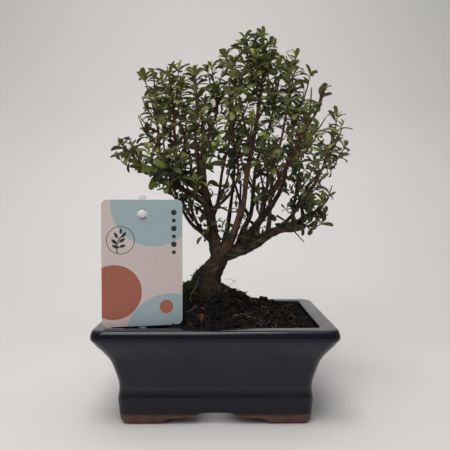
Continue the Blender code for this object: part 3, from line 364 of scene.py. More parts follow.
class Finish:
    """One surface finish: a node material with a short call for each kind of node."""

    def __init__(self, name, uniform):
        self.material = bpy.data.materials.new(name)
        self.material.use_nodes = True
        self.tree = self.material.node_tree
        self.shader = self.tree.nodes["Principled BSDF"]
        for socket, value in uniform.items():
            self.shader.inputs[socket].default_value = value
        place = self.node("ShaderNodeTexCoord")
        self.place = self.vector("MULTIPLY", place.outputs["Object"], (1 / MM,) * 3)

    def node(self, kind, inputs=(), **settings):
        node = self.tree.nodes.new(kind)
        for setting, value in settings.items():
            setattr(node, setting, value)
        for socket, value in dict(inputs).items():
            if isinstance(value, bpy.types.NodeSocket):
                self.tree.links.new(value, node.inputs[socket])
            else:
                node.inputs[socket].default_value = value
        return node

    def vector(self, operation, a, b):
        return self.node("ShaderNodeVectorMath", {0: a, 1: b}, operation=operation).outputs["Vector"]

    def distance(self, a, b):
        return self.node("ShaderNodeVectorMath", {0: a, 1: b}, operation="DISTANCE").outputs["Value"]

    def math(self, operation, a, b=0.5):
        return self.node("ShaderNodeMath", {0: a, 1: b}, operation=operation).outputs[0]

    def times(self, a, b):
        return self.math("MULTIPLY", a, b)

    def plus(self, a, b):
        return self.math("ADD", a, b)

    def larger(self, a, b):
        return self.math("MAXIMUM", a, b)

    def apart(self, a, b):
        """How far apart two numbers are."""
        return self.math("ABSOLUTE", self.math("SUBTRACT", a, b))

    def other_than(self, share):
        """What a share leaves of the whole."""
        return self.math("SUBTRACT", 1.0, share)

    def part(self, axis, vector=None):
        """One coordinate, in millimetres unless another vector is given."""
        return self.node("ShaderNodeSeparateXYZ", {0: vector or self.place}).outputs[axis]

    def grain(self, size, detail=3.0, roughness=0.55, shift=0.0):
        """Noise from 0 to 1 whose grains are about size millimetres across."""
        scaled = self.vector("MULTIPLY", self.place, (1 / size,) * 3)
        moved = self.vector("ADD", scaled, (shift, 0.7 * shift, -1.3 * shift))
        return self.node("ShaderNodeTexNoise", {"Vector": moved, "Scale": 1.0, "Detail": detail,
                                                "Roughness": roughness}).outputs["Fac"]

    def step(self, value, low, high, result=(0.0, 1.0)):
        """A smooth step of a value from low to high."""
        return self.node("ShaderNodeMapRange", {"Value": value, "From Min": low, "From Max": high,
                                                "To Min": result[0], "To Max": result[1]},
                         interpolation_type="SMOOTHSTEP").outputs["Result"]

    def rough(self, grain, low, high):
        """Roughness between two values, by a grain."""
        return self.step(grain, 0.3, 0.7, (low, high))

    def mix(self, share, a, b, blend="MIX"):
        a, b = (value if isinstance(value, bpy.types.NodeSocket) else rgba(value) for value in (a, b))
        return self.node("ShaderNodeMix", {0: share, 6: a, 7: b}, data_type="RGBA", blend_type=blend).outputs[2]

    def named(self, attribute):
        """A number that the mesh carries at each point."""
        return self.node("ShaderNodeAttribute", attribute_name=attribute).outputs["Fac"]

    def bump(self, height, depth, under=None):
        """Adds relief; depth in millimetres is what a height of 1 stands for."""
        inputs = {"Height": height, "Distance": depth * MM, "Strength": 1.0}
        if under:
            inputs["Normal"] = under
        return self.node("ShaderNodeBump", inputs).outputs["Normal"]

    def finish(self, colour, roughness, normal):
        for socket, value in (("Base Color", colour), ("Roughness", roughness), ("Normal", normal)):
            self.tree.links.new(value, self.shader.inputs[socket])
        return self.material


def mesh_from(name, points, faces, **marks):
    """A mesh from points in millimetres and faces of any size, with the numbers that its finish reads."""
    mesh = bpy.data.meshes.new(name)
    mesh.from_pydata((np.asarray(points, float) * MM).tolist(), [], faces)
    mesh.update()
    for mark, values in marks.items():
        carry(mesh, mark, values)
    return mesh


def mesh_of(name, bm):
    """A mesh from a bmesh, which is freed."""
    mesh = bpy.data.meshes.new(name)
    bm.to_mesh(mesh)
    bm.free()
    return mesh


def bridge_rows(bm, rows):
    """Faces between rows of bmesh points, each row a closed ring."""
    for low, high in zip(rows, rows[1:]):
        for i in range(len(low)):
            j = (i + 1) % len(low)
            bm.faces.new((low[i], low[j], high[j], high[i]))


def face_outward(bm):
    """Turns the faces outward and brings the points from millimetres to metres."""
    bmesh.ops.recalc_face_normals(bm, faces=bm.faces)
    bmesh.ops.scale(bm, vec=(MM, MM, MM), verts=bm.verts)


def carry(mesh, name, values):
    """Stores a number for each point, for the finish to read."""
    layer = mesh.attributes.new(name, "FLOAT", "POINT")
    layer.data.foreach_set("value", np.ascontiguousarray(values, np.float32))


def place_piece(mesh, materials, replaced=(), matrix=None, sharp=None):
    """Puts a finished mesh in the scene as a piece that rides on the root body."""
    obj = loose_object(mesh.name, mesh)
    for material in materials:
        mesh.materials.append(material)
    mesh.shade_smooth()
    if sharp is not None:
        mesh.set_sharp_from_angle(angle=radians(sharp))
    obj.matrix_world = Matrix.Translation(POT_MIDDLE) @ (matrix or Matrix.Identity(4))
    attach(obj, "root")
    if replaced:
        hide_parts(*replaced)


def applied(obj):
    """The mesh of an object with its modifiers applied; the object is removed."""
    depsgraph = bpy.context.evaluated_depsgraph_get()
    mesh = bpy.data.meshes.new_from_object(obj.evaluated_get(depsgraph))
    name, unused = obj.name, obj.data
    bpy.data.objects.remove(obj, do_unlink=True)
    bpy.data.meshes.remove(unused)
    mesh.name = name
    return mesh


def loose_object(name, data):
    """An object in the scene that isn't a piece."""
    obj = bpy.data.objects.new(name, data)
    bpy.context.scene.collection.objects.link(obj)
    return obj


def rows_of_faces(row_count, count):
    """Faces between rows of points, each row a closed ring."""
    return [[r * count + i, r * count + (i + 1) % count, (r + 1) * count + (i + 1) % count, (r + 1) * count + i]
            for r in range(row_count - 1) for i in range(count)]


def rounded_ring(half_width, half_depth, corner, corner_steps, sides):
    """Points round a rectangle with rounded corners, with each side cut into equal steps."""
    centres = ((half_width - corner, half_depth - corner), (corner - half_width, half_depth - corner),
               (corner - half_width, corner - half_depth), (half_width - corner, corner - half_depth))
    points = []
    for quarter, (cx, cy) in enumerate(centres):
        for step in range(corner_steps + 1):
            angle = radians(90) * (quarter + step / corner_steps)
            points.append((cx + corner * cos(angle), cy + corner * sin(angle)))
        nx, ny = centres[(quarter + 1) % 4]
        turn = radians(90) * (quarter + 1)
        start, end = points[-1], (nx + corner * cos(turn), ny + corner * sin(turn))
        steps = sides[quarter % 2]
        points += [(start[0] + (end[0] - start[0]) * s / steps, start[1] + (end[1] - start[1]) * s / steps)
                   for s in range(1, steps)]
    return np.array(points)


def smooth_route(values, steps):
    """Catmull-Rom points through a route, with everything after x, y and z carried along."""
    values = [tuple(map(float, value)) for value in values]
    ends = [values[0]] + values + [values[-1]]
    route = []
    for a, b, c, d in zip(ends, ends[1:], ends[2:], ends[3:]):
        for step in range(steps):
            t = step / steps
            route.append(tuple(
                0.5 * (2 * q + (r - p) * t + (2 * p - 5 * q + 4 * r - s) * t ** 2
                       + (3 * q - p - 3 * r + s) * t ** 3)
                for p, q, r, s in zip(a, b, c, d)))
    route.append(values[-1])
    return route


def gone_along(route):
    """Length from the start of a route to each of its points."""
    return np.r_[0.0, np.cumsum(norm(np.diff(route[:, :3], axis=0), axis=1))]


def even_route(route, spacing):
    """A route's points moved along it to an even spacing."""
    route = np.asarray(route, float)
    lengths = gone_along(route)
    count = max(2, int(round(lengths[-1] / spacing)) + 1)
    wanted = np.linspace(0.0, lengths[-1], count)
    return np.column_stack([np.interp(wanted, lengths, column) for column in route.T])


def unit(vectors):
    vectors = np.asarray(vectors, float)
    return vectors / np.maximum(norm(vectors, axis=-1, keepdims=True), 1e-9)


def crosswise(direction):
    """A direction at right angles to another."""
    return unit(np.cross(direction, UP if abs(direction[2]) < 0.9 else (1.0, 0.0, 0.0)))


def frames_along(points):
    """Directions along a line of points and two crosswise directions that don't twist."""
    directions = unit(np.gradient(points, axis=0))
    across = [crosswise(directions[0])]
    for direction in directions[1:]:
        across.append(unit(across[-1] - direction * np.dot(across[-1], direction)))
    across = np.array(across)
    return directions, across, np.cross(directions, across)


def tube(route, sides, relief=1.0):
    """Points and faces of a closed tube along rows of x, y, z and radius."""
    route = np.asarray(route, float)
    points, radii = route[:, :3], route[:, 3]
    _, u, v = frames_along(points)
    turns = np.linspace(0.0, 2 * pi, sides, endpoint=False)
    spokes = u[:, None] * np.cos(turns)[None, :, None] + v[:, None] * np.sin(turns)[None, :, None]
    reach = radii[:, None] * relief
    rows = points[:, None] + spokes * np.broadcast_to(reach, (len(points), sides))[..., None]
    onward = unit(points[-1] - points[-2]) * radii[-1] * 0.6
    foot = len(points) * sides
    last = foot - sides
    faces = rows_of_faces(len(points), sides)
    faces += [[(i + 1) % sides, i, foot] for i in range(sides)]
    faces += [[last + i, last + (i + 1) % sides, foot + 1] for i in range(sides)]
    return np.vstack([rows.reshape(-1, 3), points[:1], points[-1:] + onward]), faces


def joined(parts):
    """Points and faces of several shapes as one, and how many points each shape has."""
    counts = [len(points) for points, _ in parts]
    starts = np.cumsum([0] + counts[:-1]).tolist()
    faces = [[i + start for i in face] for (_, some), start in zip(parts, starts) for face in some]
    return np.vstack([points for points, _ in parts]), faces, counts


# Pot

def glaze_edge_at(x, y, edge):
    """Height of the glaze's wavy lower edge at a place on the wall."""
    return edge + GLAZE_EDGE_WAVES * (noise.noise((x / 9, y / 9, 0.3)) + 0.5 * noise.noise((x / 3, y / 3, 4.1)))


def pot_rings(edge):
    """Rows of points round the pot, from the foot over the rim and down inside."""
    profile = []
    for table, steps, spacing in ((FOOT_WALL, 4, 0.8), (FLARED_WALL, 6, 1.3), (RIM_TOP, 3, 0), (WALL_INSIDE, 3, 0)):
        route = smooth_route([(width, 0, height, corner) for width, height, corner in table], steps)
        profile += list(even_route(route, spacing) if spacing else route)[1 if profile else 0:]
    rings = []
    for width, _, height, corner in profile:
        ring = []
        for x, y in rounded_ring(width, width - DEPTH_INSET, corner, 9, (26, 18)):
            wobble = 0.16 * noise.noise((x / 22, y / 22, height / 16)) + 0.05 * noise.noise((x / 5, y / 5, height / 5))
            coat = GLAZE_THICKNESS * min(max((height - glaze_edge_at(x, y, edge)) / 0.7, 0.0), 1.0)
            outward = Vector((x, y, 0.0)).normalized() * (wobble + coat - GLAZE_THICKNESS)
            ring.append((x + outward.x, y + outward.y, height))
        rings.append(ring)
    return rings


def cloud_cutter(name, share):
    """The cloud-shaped tunnel between two feet, along Y before it is turned."""
    right = [(x, z) for x, _, z, _ in smooth_route([(x * share[0], 0, z * share[1], 0) for x, z in FOOT_CUT], 5)]
    outline = [(FOOT_CUT[0][0] * share[0], -3.0)] + right
    outline += [(-x, z) for x, z in reversed(outline)]
    count = len(outline)
    points = [(x, y, z) for y in (-CUT_LENGTH / 2, CUT_LENGTH / 2) for x, z in outline]
    faces = [list(range(count)), list(range(2 * count - 1, count - 1, -1))]
    faces += [[(i + 1) % count, i, i + count, (i + 1) % count + count] for i in range(count)]
    return loose_object(name, mesh_from(name, points, faces))


def build_pot(sizes, colours):
    edge = sizes.glaze_edge / MM
    rings = pot_rings(edge)
    count = len(rings[0])
    points = [point for ring in rings for point in ring]
    faces = rows_of_faces(len(rings), count)
    faces += [list(range(count - 1, -1, -1)), [(len(rings) - 1) * count + i for i in range(count)]]
    pot = loose_object("glazed_pot", mesh_from("glazed_pot", points, faces))
    cutters = [cloud_cutter("cut_front_to_back", (1.0, 1.0)), cloud_cutter("cut_side_to_side", SIDE_CUT_SHARE)]
    cutters[1].data.transform(Matrix.Rotation(radians(90), 4, "Z"))
    for sign in (-1, 1):
        bm = bmesh.new()
        bmesh.ops.create_cone(bm, cap_ends=True, segments=40, radius1=DRAIN_HOLE_RADIUS * MM,
                              radius2=DRAIN_HOLE_RADIUS * MM, depth=0.036)
        bmesh.ops.translate(bm, vec=(sign * DRAIN_HOLE_X * MM, 0.0, 0.0), verts=bm.verts)
        cutters.append(loose_object("cut_drain", mesh_of("cut_drain", bm)))
    for cutter in cutters:
        cut = pot.modifiers.new(cutter.name, "BOOLEAN")
        cut.operation, cut.solver, cut.object = "DIFFERENCE", "EXACT", cutter
    edge_round = pot.modifiers.new("soft_edges", "BEVEL")
    edge_round.width, edge_round.segments, edge_round.angle_limit = EDGE_ROUNDING * MM, 2, radians(38)
    mesh = applied(pot)
    for cutter in cutters:
        bpy.data.objects.remove(cutter, do_unlink=True)
    coat = []
    for vertex in mesh.vertices:
        x, y, z = vertex.co / MM
        inside = z < 63.0 and max(abs(x), abs(y) + DEPTH_INSET) < 58.5 + 0.27 * (z - 14.0)
        coat.append(0.0 if inside else min(max((z - glaze_edge_at(x, y, edge)) / 0.5, 0.0), 1.0))
    carry(mesh, "glazed", coat)
    place_piece(mesh, [glaze_finish(colours)], ["pot"], sharp=60)


def glaze_finish(colours):
    """Slate-dark glaze, thin and brown over edges, with bare clay below its wavy lower edge."""
    f = Finish("slate_glaze_and_clay", {"IOR": 1.35, "Coat Weight": 0.12, "Coat Roughness": 0.08})
    glazed = f.named("glazed")
    height = f.part(2)
    cloudy = f.grain(26, 3, shift=3.0)
    speckle = f.step(f.grain(0.9, 2, shift=9.0), 0.74, 0.80)
    # darker below the groove and from the rim's outer face up: painted shade for the dark that the glaze reflects
    # there
    painted_dark_bands = f.larger(f.step(height, 27.0, 22.5), f.step(height, 59.0, 61.5))
    glaze = f.mix(f.step(cloudy, 0.35, 0.7, (0.0, 0.55)), colours.glaze, shaded(colours.glaze, 1.7))
    glaze = f.mix(f.times(painted_dark_bands, 0.85), glaze, (0.003, 0.003, 0.0085))
    glaze = f.mix(f.times(speckle, 0.35), glaze, colours.glaze_thin)
    over_groove = f.other_than(f.step(f.apart(height, 25.2), 0.3, 1.6))
    near_foot = f.other_than(f.step(height, 6.8, 9.2))
    rim_edge = f.step(f.apart(height, 67.6), 0.9, 0.2)
    thin = f.times(f.larger(f.larger(over_groove, near_foot), f.times(rim_edge, 0.7)),
                   f.step(f.grain(7, 3, shift=5.0), 0.3, 0.6, (0.25, 0.8)))
    glaze = f.mix(thin, glaze, colours.glaze_thin)
    clay_grain = f.grain(0.5, 4, 0.7)
    clay = f.mix(f.step(f.grain(5, 4, shift=2.0), 0.3, 0.75), colours.clay, shaded(colours.clay, 0.55))
    clay = f.mix(f.step(clay_grain, 0.55, 0.8, (0.0, 0.5)), clay, shaded(colours.clay, 1.7))
    colour = f.mix(glazed, clay, glaze)
    smooth = f.step(f.grain(14, 3, shift=1.0), 0.3, 0.8, (0.16, 0.27))
    rough = f.plus(f.times(glazed, smooth), f.times(f.other_than(glazed), 0.85))
    orange_peel = f.bump(f.grain(3.4, 2, shift=4.0), 0.02)
    clay_relief = f.times(clay_grain, f.other_than(glazed))
    return f.finish(colour, rough, f.bump(clay_relief, 0.22, orange_peel))


# Drain screens keep their solids

def finish_drain_screens(colours):
    """Moulded black mesh, a little dusty with soil."""
    f = Finish("moulded_screen", {"IOR": 1.46})
    dust = f.step(f.grain(1.6, 4), 0.48, 0.7, (0.0, 0.8))
    colour = f.mix(dust, colours.screen, colours.soil_brown)
    rough = f.rough(f.grain(0.6, 3), 0.42, 0.72)
    material = f.finish(colour, rough, f.bump(f.grain(0.4, 3), 0.06))
    for name in ("drain_screen_1", "drain_screen_2"):
        screen = frame["nodes"][name]
        screen.data.materials.clear()
        screen.data.materials.append(material)


# Plant label: local x runs across the card, z up it, and its face looks to -y

def label_matrix():
    return Matrix.Translation(Vector(CARD_CENTRE) * MM) @ Matrix.Rotation(CARD_TURN, 4, "Z")


def plate_with_hole(outline, hole, thickness, rounding):
    """A plate standing on its lower edge, with both faces eased off round the outline and the hole."""
    outline, hole = np.asarray(outline), np.asarray(hole)
    inset_out = outline * (1 - rounding / norm(outline, axis=1, keepdims=True))
    middle = hole.mean(axis=0)
    inset_in = middle + (hole - middle) * (1 + rounding / norm(hole - middle, axis=1, keepdims=True))
    bm = bmesh.new()
    half = thickness / 2
    rows = []
    for ring, inset in ((outline, inset_out), (hole, inset_in)):
        levels = [(inset, -half), (ring, -half + rounding), (ring, half - rounding), (inset, half)]
        rows.append([[bm.verts.new((x, y, z)) for x, z in level] for level, y in levels])
        bridge_rows(bm, rows[-1])
    for level in (0, -1):
        edges = []
        for made in rows:
            loop = made[level]
            edges += [bm.edges.get((loop[i], loop[(i + 1) % len(loop)])) for i in range(len(loop))]
        bmesh.ops.triangle_fill(bm, edges=edges, use_beauty=True)
    face_outward(bm)
    return bm


def circle_points(radius, cx, cy, sides):
    turns = [2 * pi * i / sides for i in range(sides)]
    return [(cx + radius * cos(t), cy + radius * sin(t)) for t in turns]


def build_label_card(colours):
    width, height, thickness = CARD_SIZE
    outline = rounded_ring(width / 2, height / 2, CARD_CORNER, 10, (1, 1))
    hole = circle_points(HOLE_RADIUS, 0.0, height / 2 - HOLE_BELOW_TOP, 40)
    mesh = mesh_of("plant_label", plate_with_hole(outline, hole, thickness, CARD_ROUNDING))
    place_piece(mesh, [card_finish(colours)], ["label_card"], label_matrix(), sharp=25)


def card_finish(colours):
    """A plastic card with a plain print of discs, stripes, rings and a leafy sprig."""
    f = Finish("printed_card", {"IOR": 1.48, "Coat Weight": 0.15, "Coat Roughness": 0.3})
    across, up = f.part(0), f.part(2)
    flat = f.node("ShaderNodeCombineXYZ", {0: across, 1: up, 2: 0.0}).outputs[0]

    def disc(cx, cz, radius):
        return f.step(f.distance(flat, (cx, cz, 0.0)), radius + 0.12, radius - 0.12)

    def ring(cx, cz, radius, line):
        gap = f.apart(f.distance(flat, (cx, cz, 0.0)), radius)
        return f.step(gap, line / 2 + 0.08, line / 2 - 0.08)

    def leaf(cx, cz, length, width, turn):
        """A pointed leaf: where two discs overlap."""
        bow = (length ** 2 + width ** 2) / (4 * width)
        off = bow - width / 2
        nx, nz = -sin(radians(turn)) * off, cos(radians(turn)) * off
        return f.math("MINIMUM", disc(cx + nx, cz + nz, bow), disc(cx - nx, cz - nz, bow))

    print_colour = f.mix(f.grain(18, 2), colours.label_ground, shaded(colours.label_ground, 1.06))
    blue = f.mix(f.grain(22, 2, shift=2.0), colours.label_blue, shaded(colours.label_blue, 1.12))
    print_colour = f.mix(disc(8.0, 40.0, 29.0), print_colour, blue)
    print_colour = f.mix(disc(19.0, -52.0, 31.0), print_colour, blue)
    tan = ring(15.0, 1.0, 9.0, 0.4)
    for radius in (7.2, 5.4, 3.6, 1.8):
        tan = f.larger(tan, ring(15.0, 1.0, radius, 0.4))
    print_colour = f.mix(f.times(tan, 0.8), print_colour, colours.label_tan)
    stripes = f.step(f.math("PINGPONG", f.plus(up, 100.0), 0.9), 0.15, 0.45, (0.55, 1.0))
    clay = f.mix(stripes, shaded(colours.label_clay, 0.55), colours.label_clay)
    print_colour = f.mix(disc(-19.0, -19.5, 18.5), print_colour, clay)
    print_colour = f.mix(disc(16.0, -30.0, 4.6), print_colour, colours.label_clay)
    ink = ring(-14.5, 15.5, 9.2, 0.45)
    ink = f.larger(ink, f.math("MINIMUM", ring(-4.5, 10.0, 12.4, 0.7), disc(-15.0, 14.0, 7.6)))
    for cx, cz, length, width, turn in (
            (-17.6, 11.2, 5.4, 2.2, 160), (-13.2, 11.6, 4.6, 2.0, 15), (-18.6, 14.6, 5.2, 2.2, 140),
            (-13.4, 15.4, 5.0, 2.1, 35), (-17.4, 18.8, 4.8, 2.0, 118), (-12.2, 19.2, 5.0, 2.1, 52),
            (-14.2, 21.6, 4.2, 1.8, 84)):
        ink = f.larger(ink, leaf(cx, cz, length, width, turn))
    for step in range(6):
        ink = f.larger(ink, disc(21.2, 34.0 - 5.4 * step, 1.35 if step % 2 else 1.9))
    print_colour = f.mix(ink, print_colour, colours.label_ink)
    front = f.step(f.part(1), -0.26, -0.36)
    white = (0.70, 0.69, 0.67)
    colour = f.mix(front, white, print_colour)
    edge_wear = f.step(f.grain(2.0, 3, shift=6.0), 0.6, 0.75, (0.0, 0.12))
    colour = f.mix(edge_wear, colour, white)
    rough = f.rough(f.grain(6, 3), 0.32, 0.46)
    return f.finish(colour, rough, f.bump(f.grain(0.5, 2), 0.012))


def build_label_stake(colours):
    """A flat milky strip behind the card, with a domed peg through the card's hole."""
    width, thickness = STAKE_SIZE
    top = CARD_SIZE[1] / 2 + STAKE_TOP_OVER_CARD
    foot = STAKE_FOOT - CARD_CENTRE[2]
    back = CARD_SIZE[2] / 2 + STAKE_ROOM + thickness / 2
    bm = bmesh.new()
    # Height and half width of the strip from its pointed foot up
    levels = [(foot, 0.9), (foot + 7.0, width / 2), (foot + 40.0, width / 2), (top - 1.2, width / 2),
              (top - 0.3, 2.1), (top, 1.3)]
    rows = []
    for height, half in levels:
        section = rounded_ring(half, thickness / 2, 0.55, 4, (1, 1))
        rows.append([bm.verts.new((x, back + y, height)) for x, y in section])
    bridge_rows(bm, rows)
    bm.faces.new(list(reversed(rows[0])))
    bm.faces.new(rows[-1])
    height = CARD_SIZE[1] / 2 - HOLE_BELOW_TOP
    front = -(CARD_SIZE[2] / 2 + PEG_REACH)
    peg = [(back, 2.5), (-CARD_SIZE[2] / 2, 2.5), (-CARD_SIZE[2] / 2 - 0.15, PEG_RADIUS), (front + 0.7, PEG_RADIUS),
           (front + 0.3, PEG_RADIUS * 0.9), (front + 0.08, PEG_RADIUS * 0.66), (front, PEG_RADIUS * 0.3)]
    rows = [[bm.verts.new((x, y, z)) for x, z in circle_points(radius, 0.0, height, 36)] for y, radius in peg]
    bridge_rows(bm, rows[::-1])
    bm.faces.new(rows[0])
    bm.faces.new(list(reversed(rows[-1])))
    face_outward(bm)
    f = Finish("milky_clear_plastic", {"IOR": 1.49, "Transmission Weight": 0.12, "Specular IOR Level": 0.4})
    haze = f.grain(9.0, 2)
    colour = f.mix(haze, colours.stake, shaded(colours.stake, 0.93))
    soiled = f.step(f.part(2), foot + 16.0, foot + 9.0, (0.0, 0.8))
    colour = f.mix(f.times(soiled, f.grain(1.2, 4, shift=3.0)), colour, colours.soil_brown)
    material = f.finish(colour, f.rough(haze, 0.30, 0.42), f.bump(f.grain(7.0, 2, shift=2.0), 0.02))
    place_piece(mesh_of("label_stake_strip", bm), [material], ["label_stake"], label_matrix(), sharp=40)


# Soil

def soil_base(x, y):
    """Height of the packed soil, a mound round the trunk with low lumps on it."""
    height = SOIL_EDGE_HEIGHT
    for cx, cy, spread, rise in MOUND:
        height += rise * exp(-((x - cx) ** 2 + (y - cy) ** 2) / (2 * spread ** 2))
    return height + 0.9 * (sin(0.31 * x + 1.3) * cos(0.37 * y) + 0.6 * sin(0.83 * x - 0.57 * y))


def soil_top(x, y):
    """Height of the soil with its crumbly relief, which dies away at the wall of the pot."""
    room = min(SOIL_EDGE_WIDTH - abs(x), SOIL_EDGE_WIDTH - DEPTH_INSET - abs(y))
    rough = 2.7 * noise.noise((x / 4.6, y / 4.6, 1.0)) + 1.5 * abs(noise.noise((x / 2.1, y / 2.1, 2.0)))
    rough += 0.45 * noise.noise((x / 0.9, y / 0.9, 3.0))
    return soil_base(x, y) + rough * min(max(room / 4.0, 0.25), 1.0)


def soil_place(dice, spread=0.97):
    """A random place on the soil's surface."""
    x = dice.uniform(-1, 1) * SOIL_EDGE_WIDTH * spread
    y = dice.uniform(-1, 1) * (SOIL_EDGE_WIDTH - DEPTH_INSET) * spread
    return x, y


def build_soil(finish):
    """The soil's body, down to the floor of the pot."""
    rows = []
    for width, height, corner in SOIL_BODY:
        ring = rounded_ring(width, width - DEPTH_INSET, corner, 6, (96, 66))
        rows.append([(x, y, height) for x, y in ring])
    for step in range(SOIL_TOP_ROWS):
        share = 0.995 * (1.0 - step / SOIL_TOP_ROWS)
        rows.append([(x * share, y * share, soil_top(x * share, y * share)) for x, y in ring])
    count = len(ring)
    points = [point for row in rows for point in row] + [(0.0, 0.0, soil_top(0.0, 0.0))]
    faces = rows_of_faces(len(rows), count)
    last = (len(rows) - 1) * count
    faces += [[last + i, last + (i + 1) % count, len(points) - 1] for i in range(count)]
    faces.append(list(range(count - 1, -1, -1)))
    mesh = mesh_from("potting_soil", points, faces, crumb_tint=np.full(len(points), 0.25))
    place_piece(mesh, [finish], ["soil"])


def build_crumbs(sizes, finish):
    """Loose crumbs of soil, each an uneven little lump pressed into the surface."""
    dice = random.Random(5)
    bm = bmesh.new()
    bmesh.ops.create_icosphere(bm, subdivisions=2, radius=1.0)
    base = np.array([v.co[:] for v in bm.verts])
    base_faces = [[v.index for v in f.verts] for f in bm.faces]
    bm.free()
    lumps, tints = [], []
    for number in range(sizes.crumb_count):
        if number < len(LARGE_CRUMBS):
            x, y, size = LARGE_CRUMBS[number]
        else:
            x, y = soil_place(dice)
            size = sizes.crumb_size / MM * min(exp(dice.gauss(0.0, CRUMB_SPREAD)), CRUMB_LIMIT)
            if x < BESIDE_CARD and y < CARD_CENTRE[1] + 6:
                size *= SMALL_SHARE
        seed = dice.uniform(0, 90)
        shape = [1.0 + 0.42 * noise.noise(Vector(p) * 1.3 + Vector((seed, 0, 0))) for p in base]
        turn = np.array(Matrix.Rotation(dice.uniform(0, 6.28), 3, Vector((dice.gauss(0, 1), dice.gauss(0, 1),
                                                                          dice.gauss(0, 1))).normalized()))
        squash = np.array((dice.uniform(0.8, 1.3), dice.uniform(0.7, 1.1), dice.uniform(0.55, 0.9)))
        lump = (base * np.array(shape)[:, None] * squash) @ turn.T * size
        lumps.append((lump + (x, y, soil_top(x, y) + size * dice.uniform(-0.1, 0.35)), base_faces))
        tints.append(dice.random() ** 2)
    points, faces, counts = joined(lumps)
    mesh = mesh_from("soil_crumbs", points, faces, crumb_tint=np.repeat(tints, counts))
    place_piece(mesh, [finish], ["soil"])


FALLEN_LEAVES = 14            # set at random, beyond those below
LYING_LEAVES = ((20.0, 3.0, 5.0, 0.5, 0.3), (33.0, -12.0, 5.5, 0.45, 2.2))    # x, y, length, slimness, heading
DRY_LEAF = (-9.8, -40.5)      # where a dry leaf stands on its tip by the front rim
MOSS_LEAVES = 620
MOSS_HEIGHTS = (67.0, 104.0)
MOSS_SPREAD = ((-24.0, 8.0), (-5.0, 7.0))    # middle and spread along x and y
FIBRE_JOINTS = 8
FIBRE_ROOM = (66.5, 45.0)     # half width and half depth that the fibres stay in
FIBRE_RADII, FIBRE_LENGTHS, FIBRE_ARCHES = (0.09, 0.24), (4.0, 13.0), (0.2, 2.2)

# Fibres that the photograph shows one by one: paleness, radius and x, y, height above the soil
MARKED_FIBRES = (
    (0.9, 0.22, ((-13, -13, 13.5), (-14.5, -15, 9), (-17, -17, 4), (-19, -18, 0.8), (-18, -19, 0.3))),
    (0.8, 0.24, ((-14, -25, 0.3), (-19, -25.5, 1), (-25, -26, 0.8), (-31, -27, 0.3))),
    (0.7, 0.20, ((-16, -24, 0.2), (-17, -26, 1.6), (-20, -28, 0.4))),
    (0.75, 0.26, ((12, -25, 0.3), (18, -24.5, 2), (25, -25, 1.8), (30, -27, 0.2))),
    (0.6, 0.22, ((14, -27, 0.3), (21, -26, 1.6), (29, -26, 0.4))),
    (0, 0.42, ((50, -33, 0.6), (57, -32.4, 0.9), (66, -31.8, 0.7), (68, -30, 0.3))),
    (0.85, 0.20, ((44, 2, 0.3), (50, 0, 2), (57, -3, 1.6), (63, -6, 0.3))),
    (0.7, 0.20, ((34, 6, 0.3), (40, 4, 2.4), (47, 1, 0.3))),
    (0.9, 0.16, ((9, 2, 0.5), (12, 1, 4.5), (14, -1, 6.5), (17, 0, 5))),
    (0.8, 0.14, ((8, 3, 3), (13, 3, 8.5), (15, 2, 10.5))),
    (0.8, 0.14, ((7, 2, 9), (11, 1, 12), (13, 1, 11), (15, 0, 12.6))),
)


def build_fibres(sizes, colours):
    """Root fibres and bits of dry grass that lie over the soil."""
    dice = random.Random(8)
    pale, routes = [], []
    for paleness, radius, values in MARKED_FIBRES:
        route = [(x, y, soil_top(x, y) + lift, radius) for x, y, lift in values]
        routes.append(smooth_route(route, 5))
        pale.append(paleness)
    for _ in range(sizes.fibre_count):
        x, y = soil_place(dice, 0.93)
        if dice.random() < 0.45:
            x = dice.uniform(15.0, 64.0)
        heading, radius = dice.uniform(0, 6.28), dice.uniform(*FIBRE_RADII)
        length, arch = dice.uniform(*FIBRE_LENGTHS), dice.uniform(*FIBRE_ARCHES)
        route = []
        for k in range(FIBRE_JOINTS + 1):
            share = k / FIBRE_JOINTS
            route.append((x, y, soil_top(x, y) + 0.1 + arch * sin(pi * share), radius * (1 - 0.5 * share)))
            heading += dice.gauss(0, 0.35)
            x = min(max(x + cos(heading) * length / FIBRE_JOINTS, -FIBRE_ROOM[0]), FIBRE_ROOM[0])
            y = min(max(y + sin(heading) * length / FIBRE_JOINTS, -FIBRE_ROOM[1]), FIBRE_ROOM[1])
        routes.append(smooth_route(route, 2))
        pale.append(dice.random() ** 1.5)
    points, faces, counts = joined([tube(route, 5) for route in routes])
    mesh = mesh_from("root_fibres", points, faces, pale=np.repeat(pale, counts))
    f = Finish("root_fibre", {"IOR": 1.45})
    streak = f.grain(1.2, 3)
    colour = f.mix(f.named("pale"), shaded(colours.fibre, 0.16), colours.fibre)
    colour = f.mix(f.step(streak, 0.4, 0.7, (0.0, 0.6)), colour, colours.soil_brown)
    material = f.finish(colour, f.rough(streak, 0.6, 0.85), f.bump(streak, 0.08))
    place_piece(mesh, [material], ["soil"])


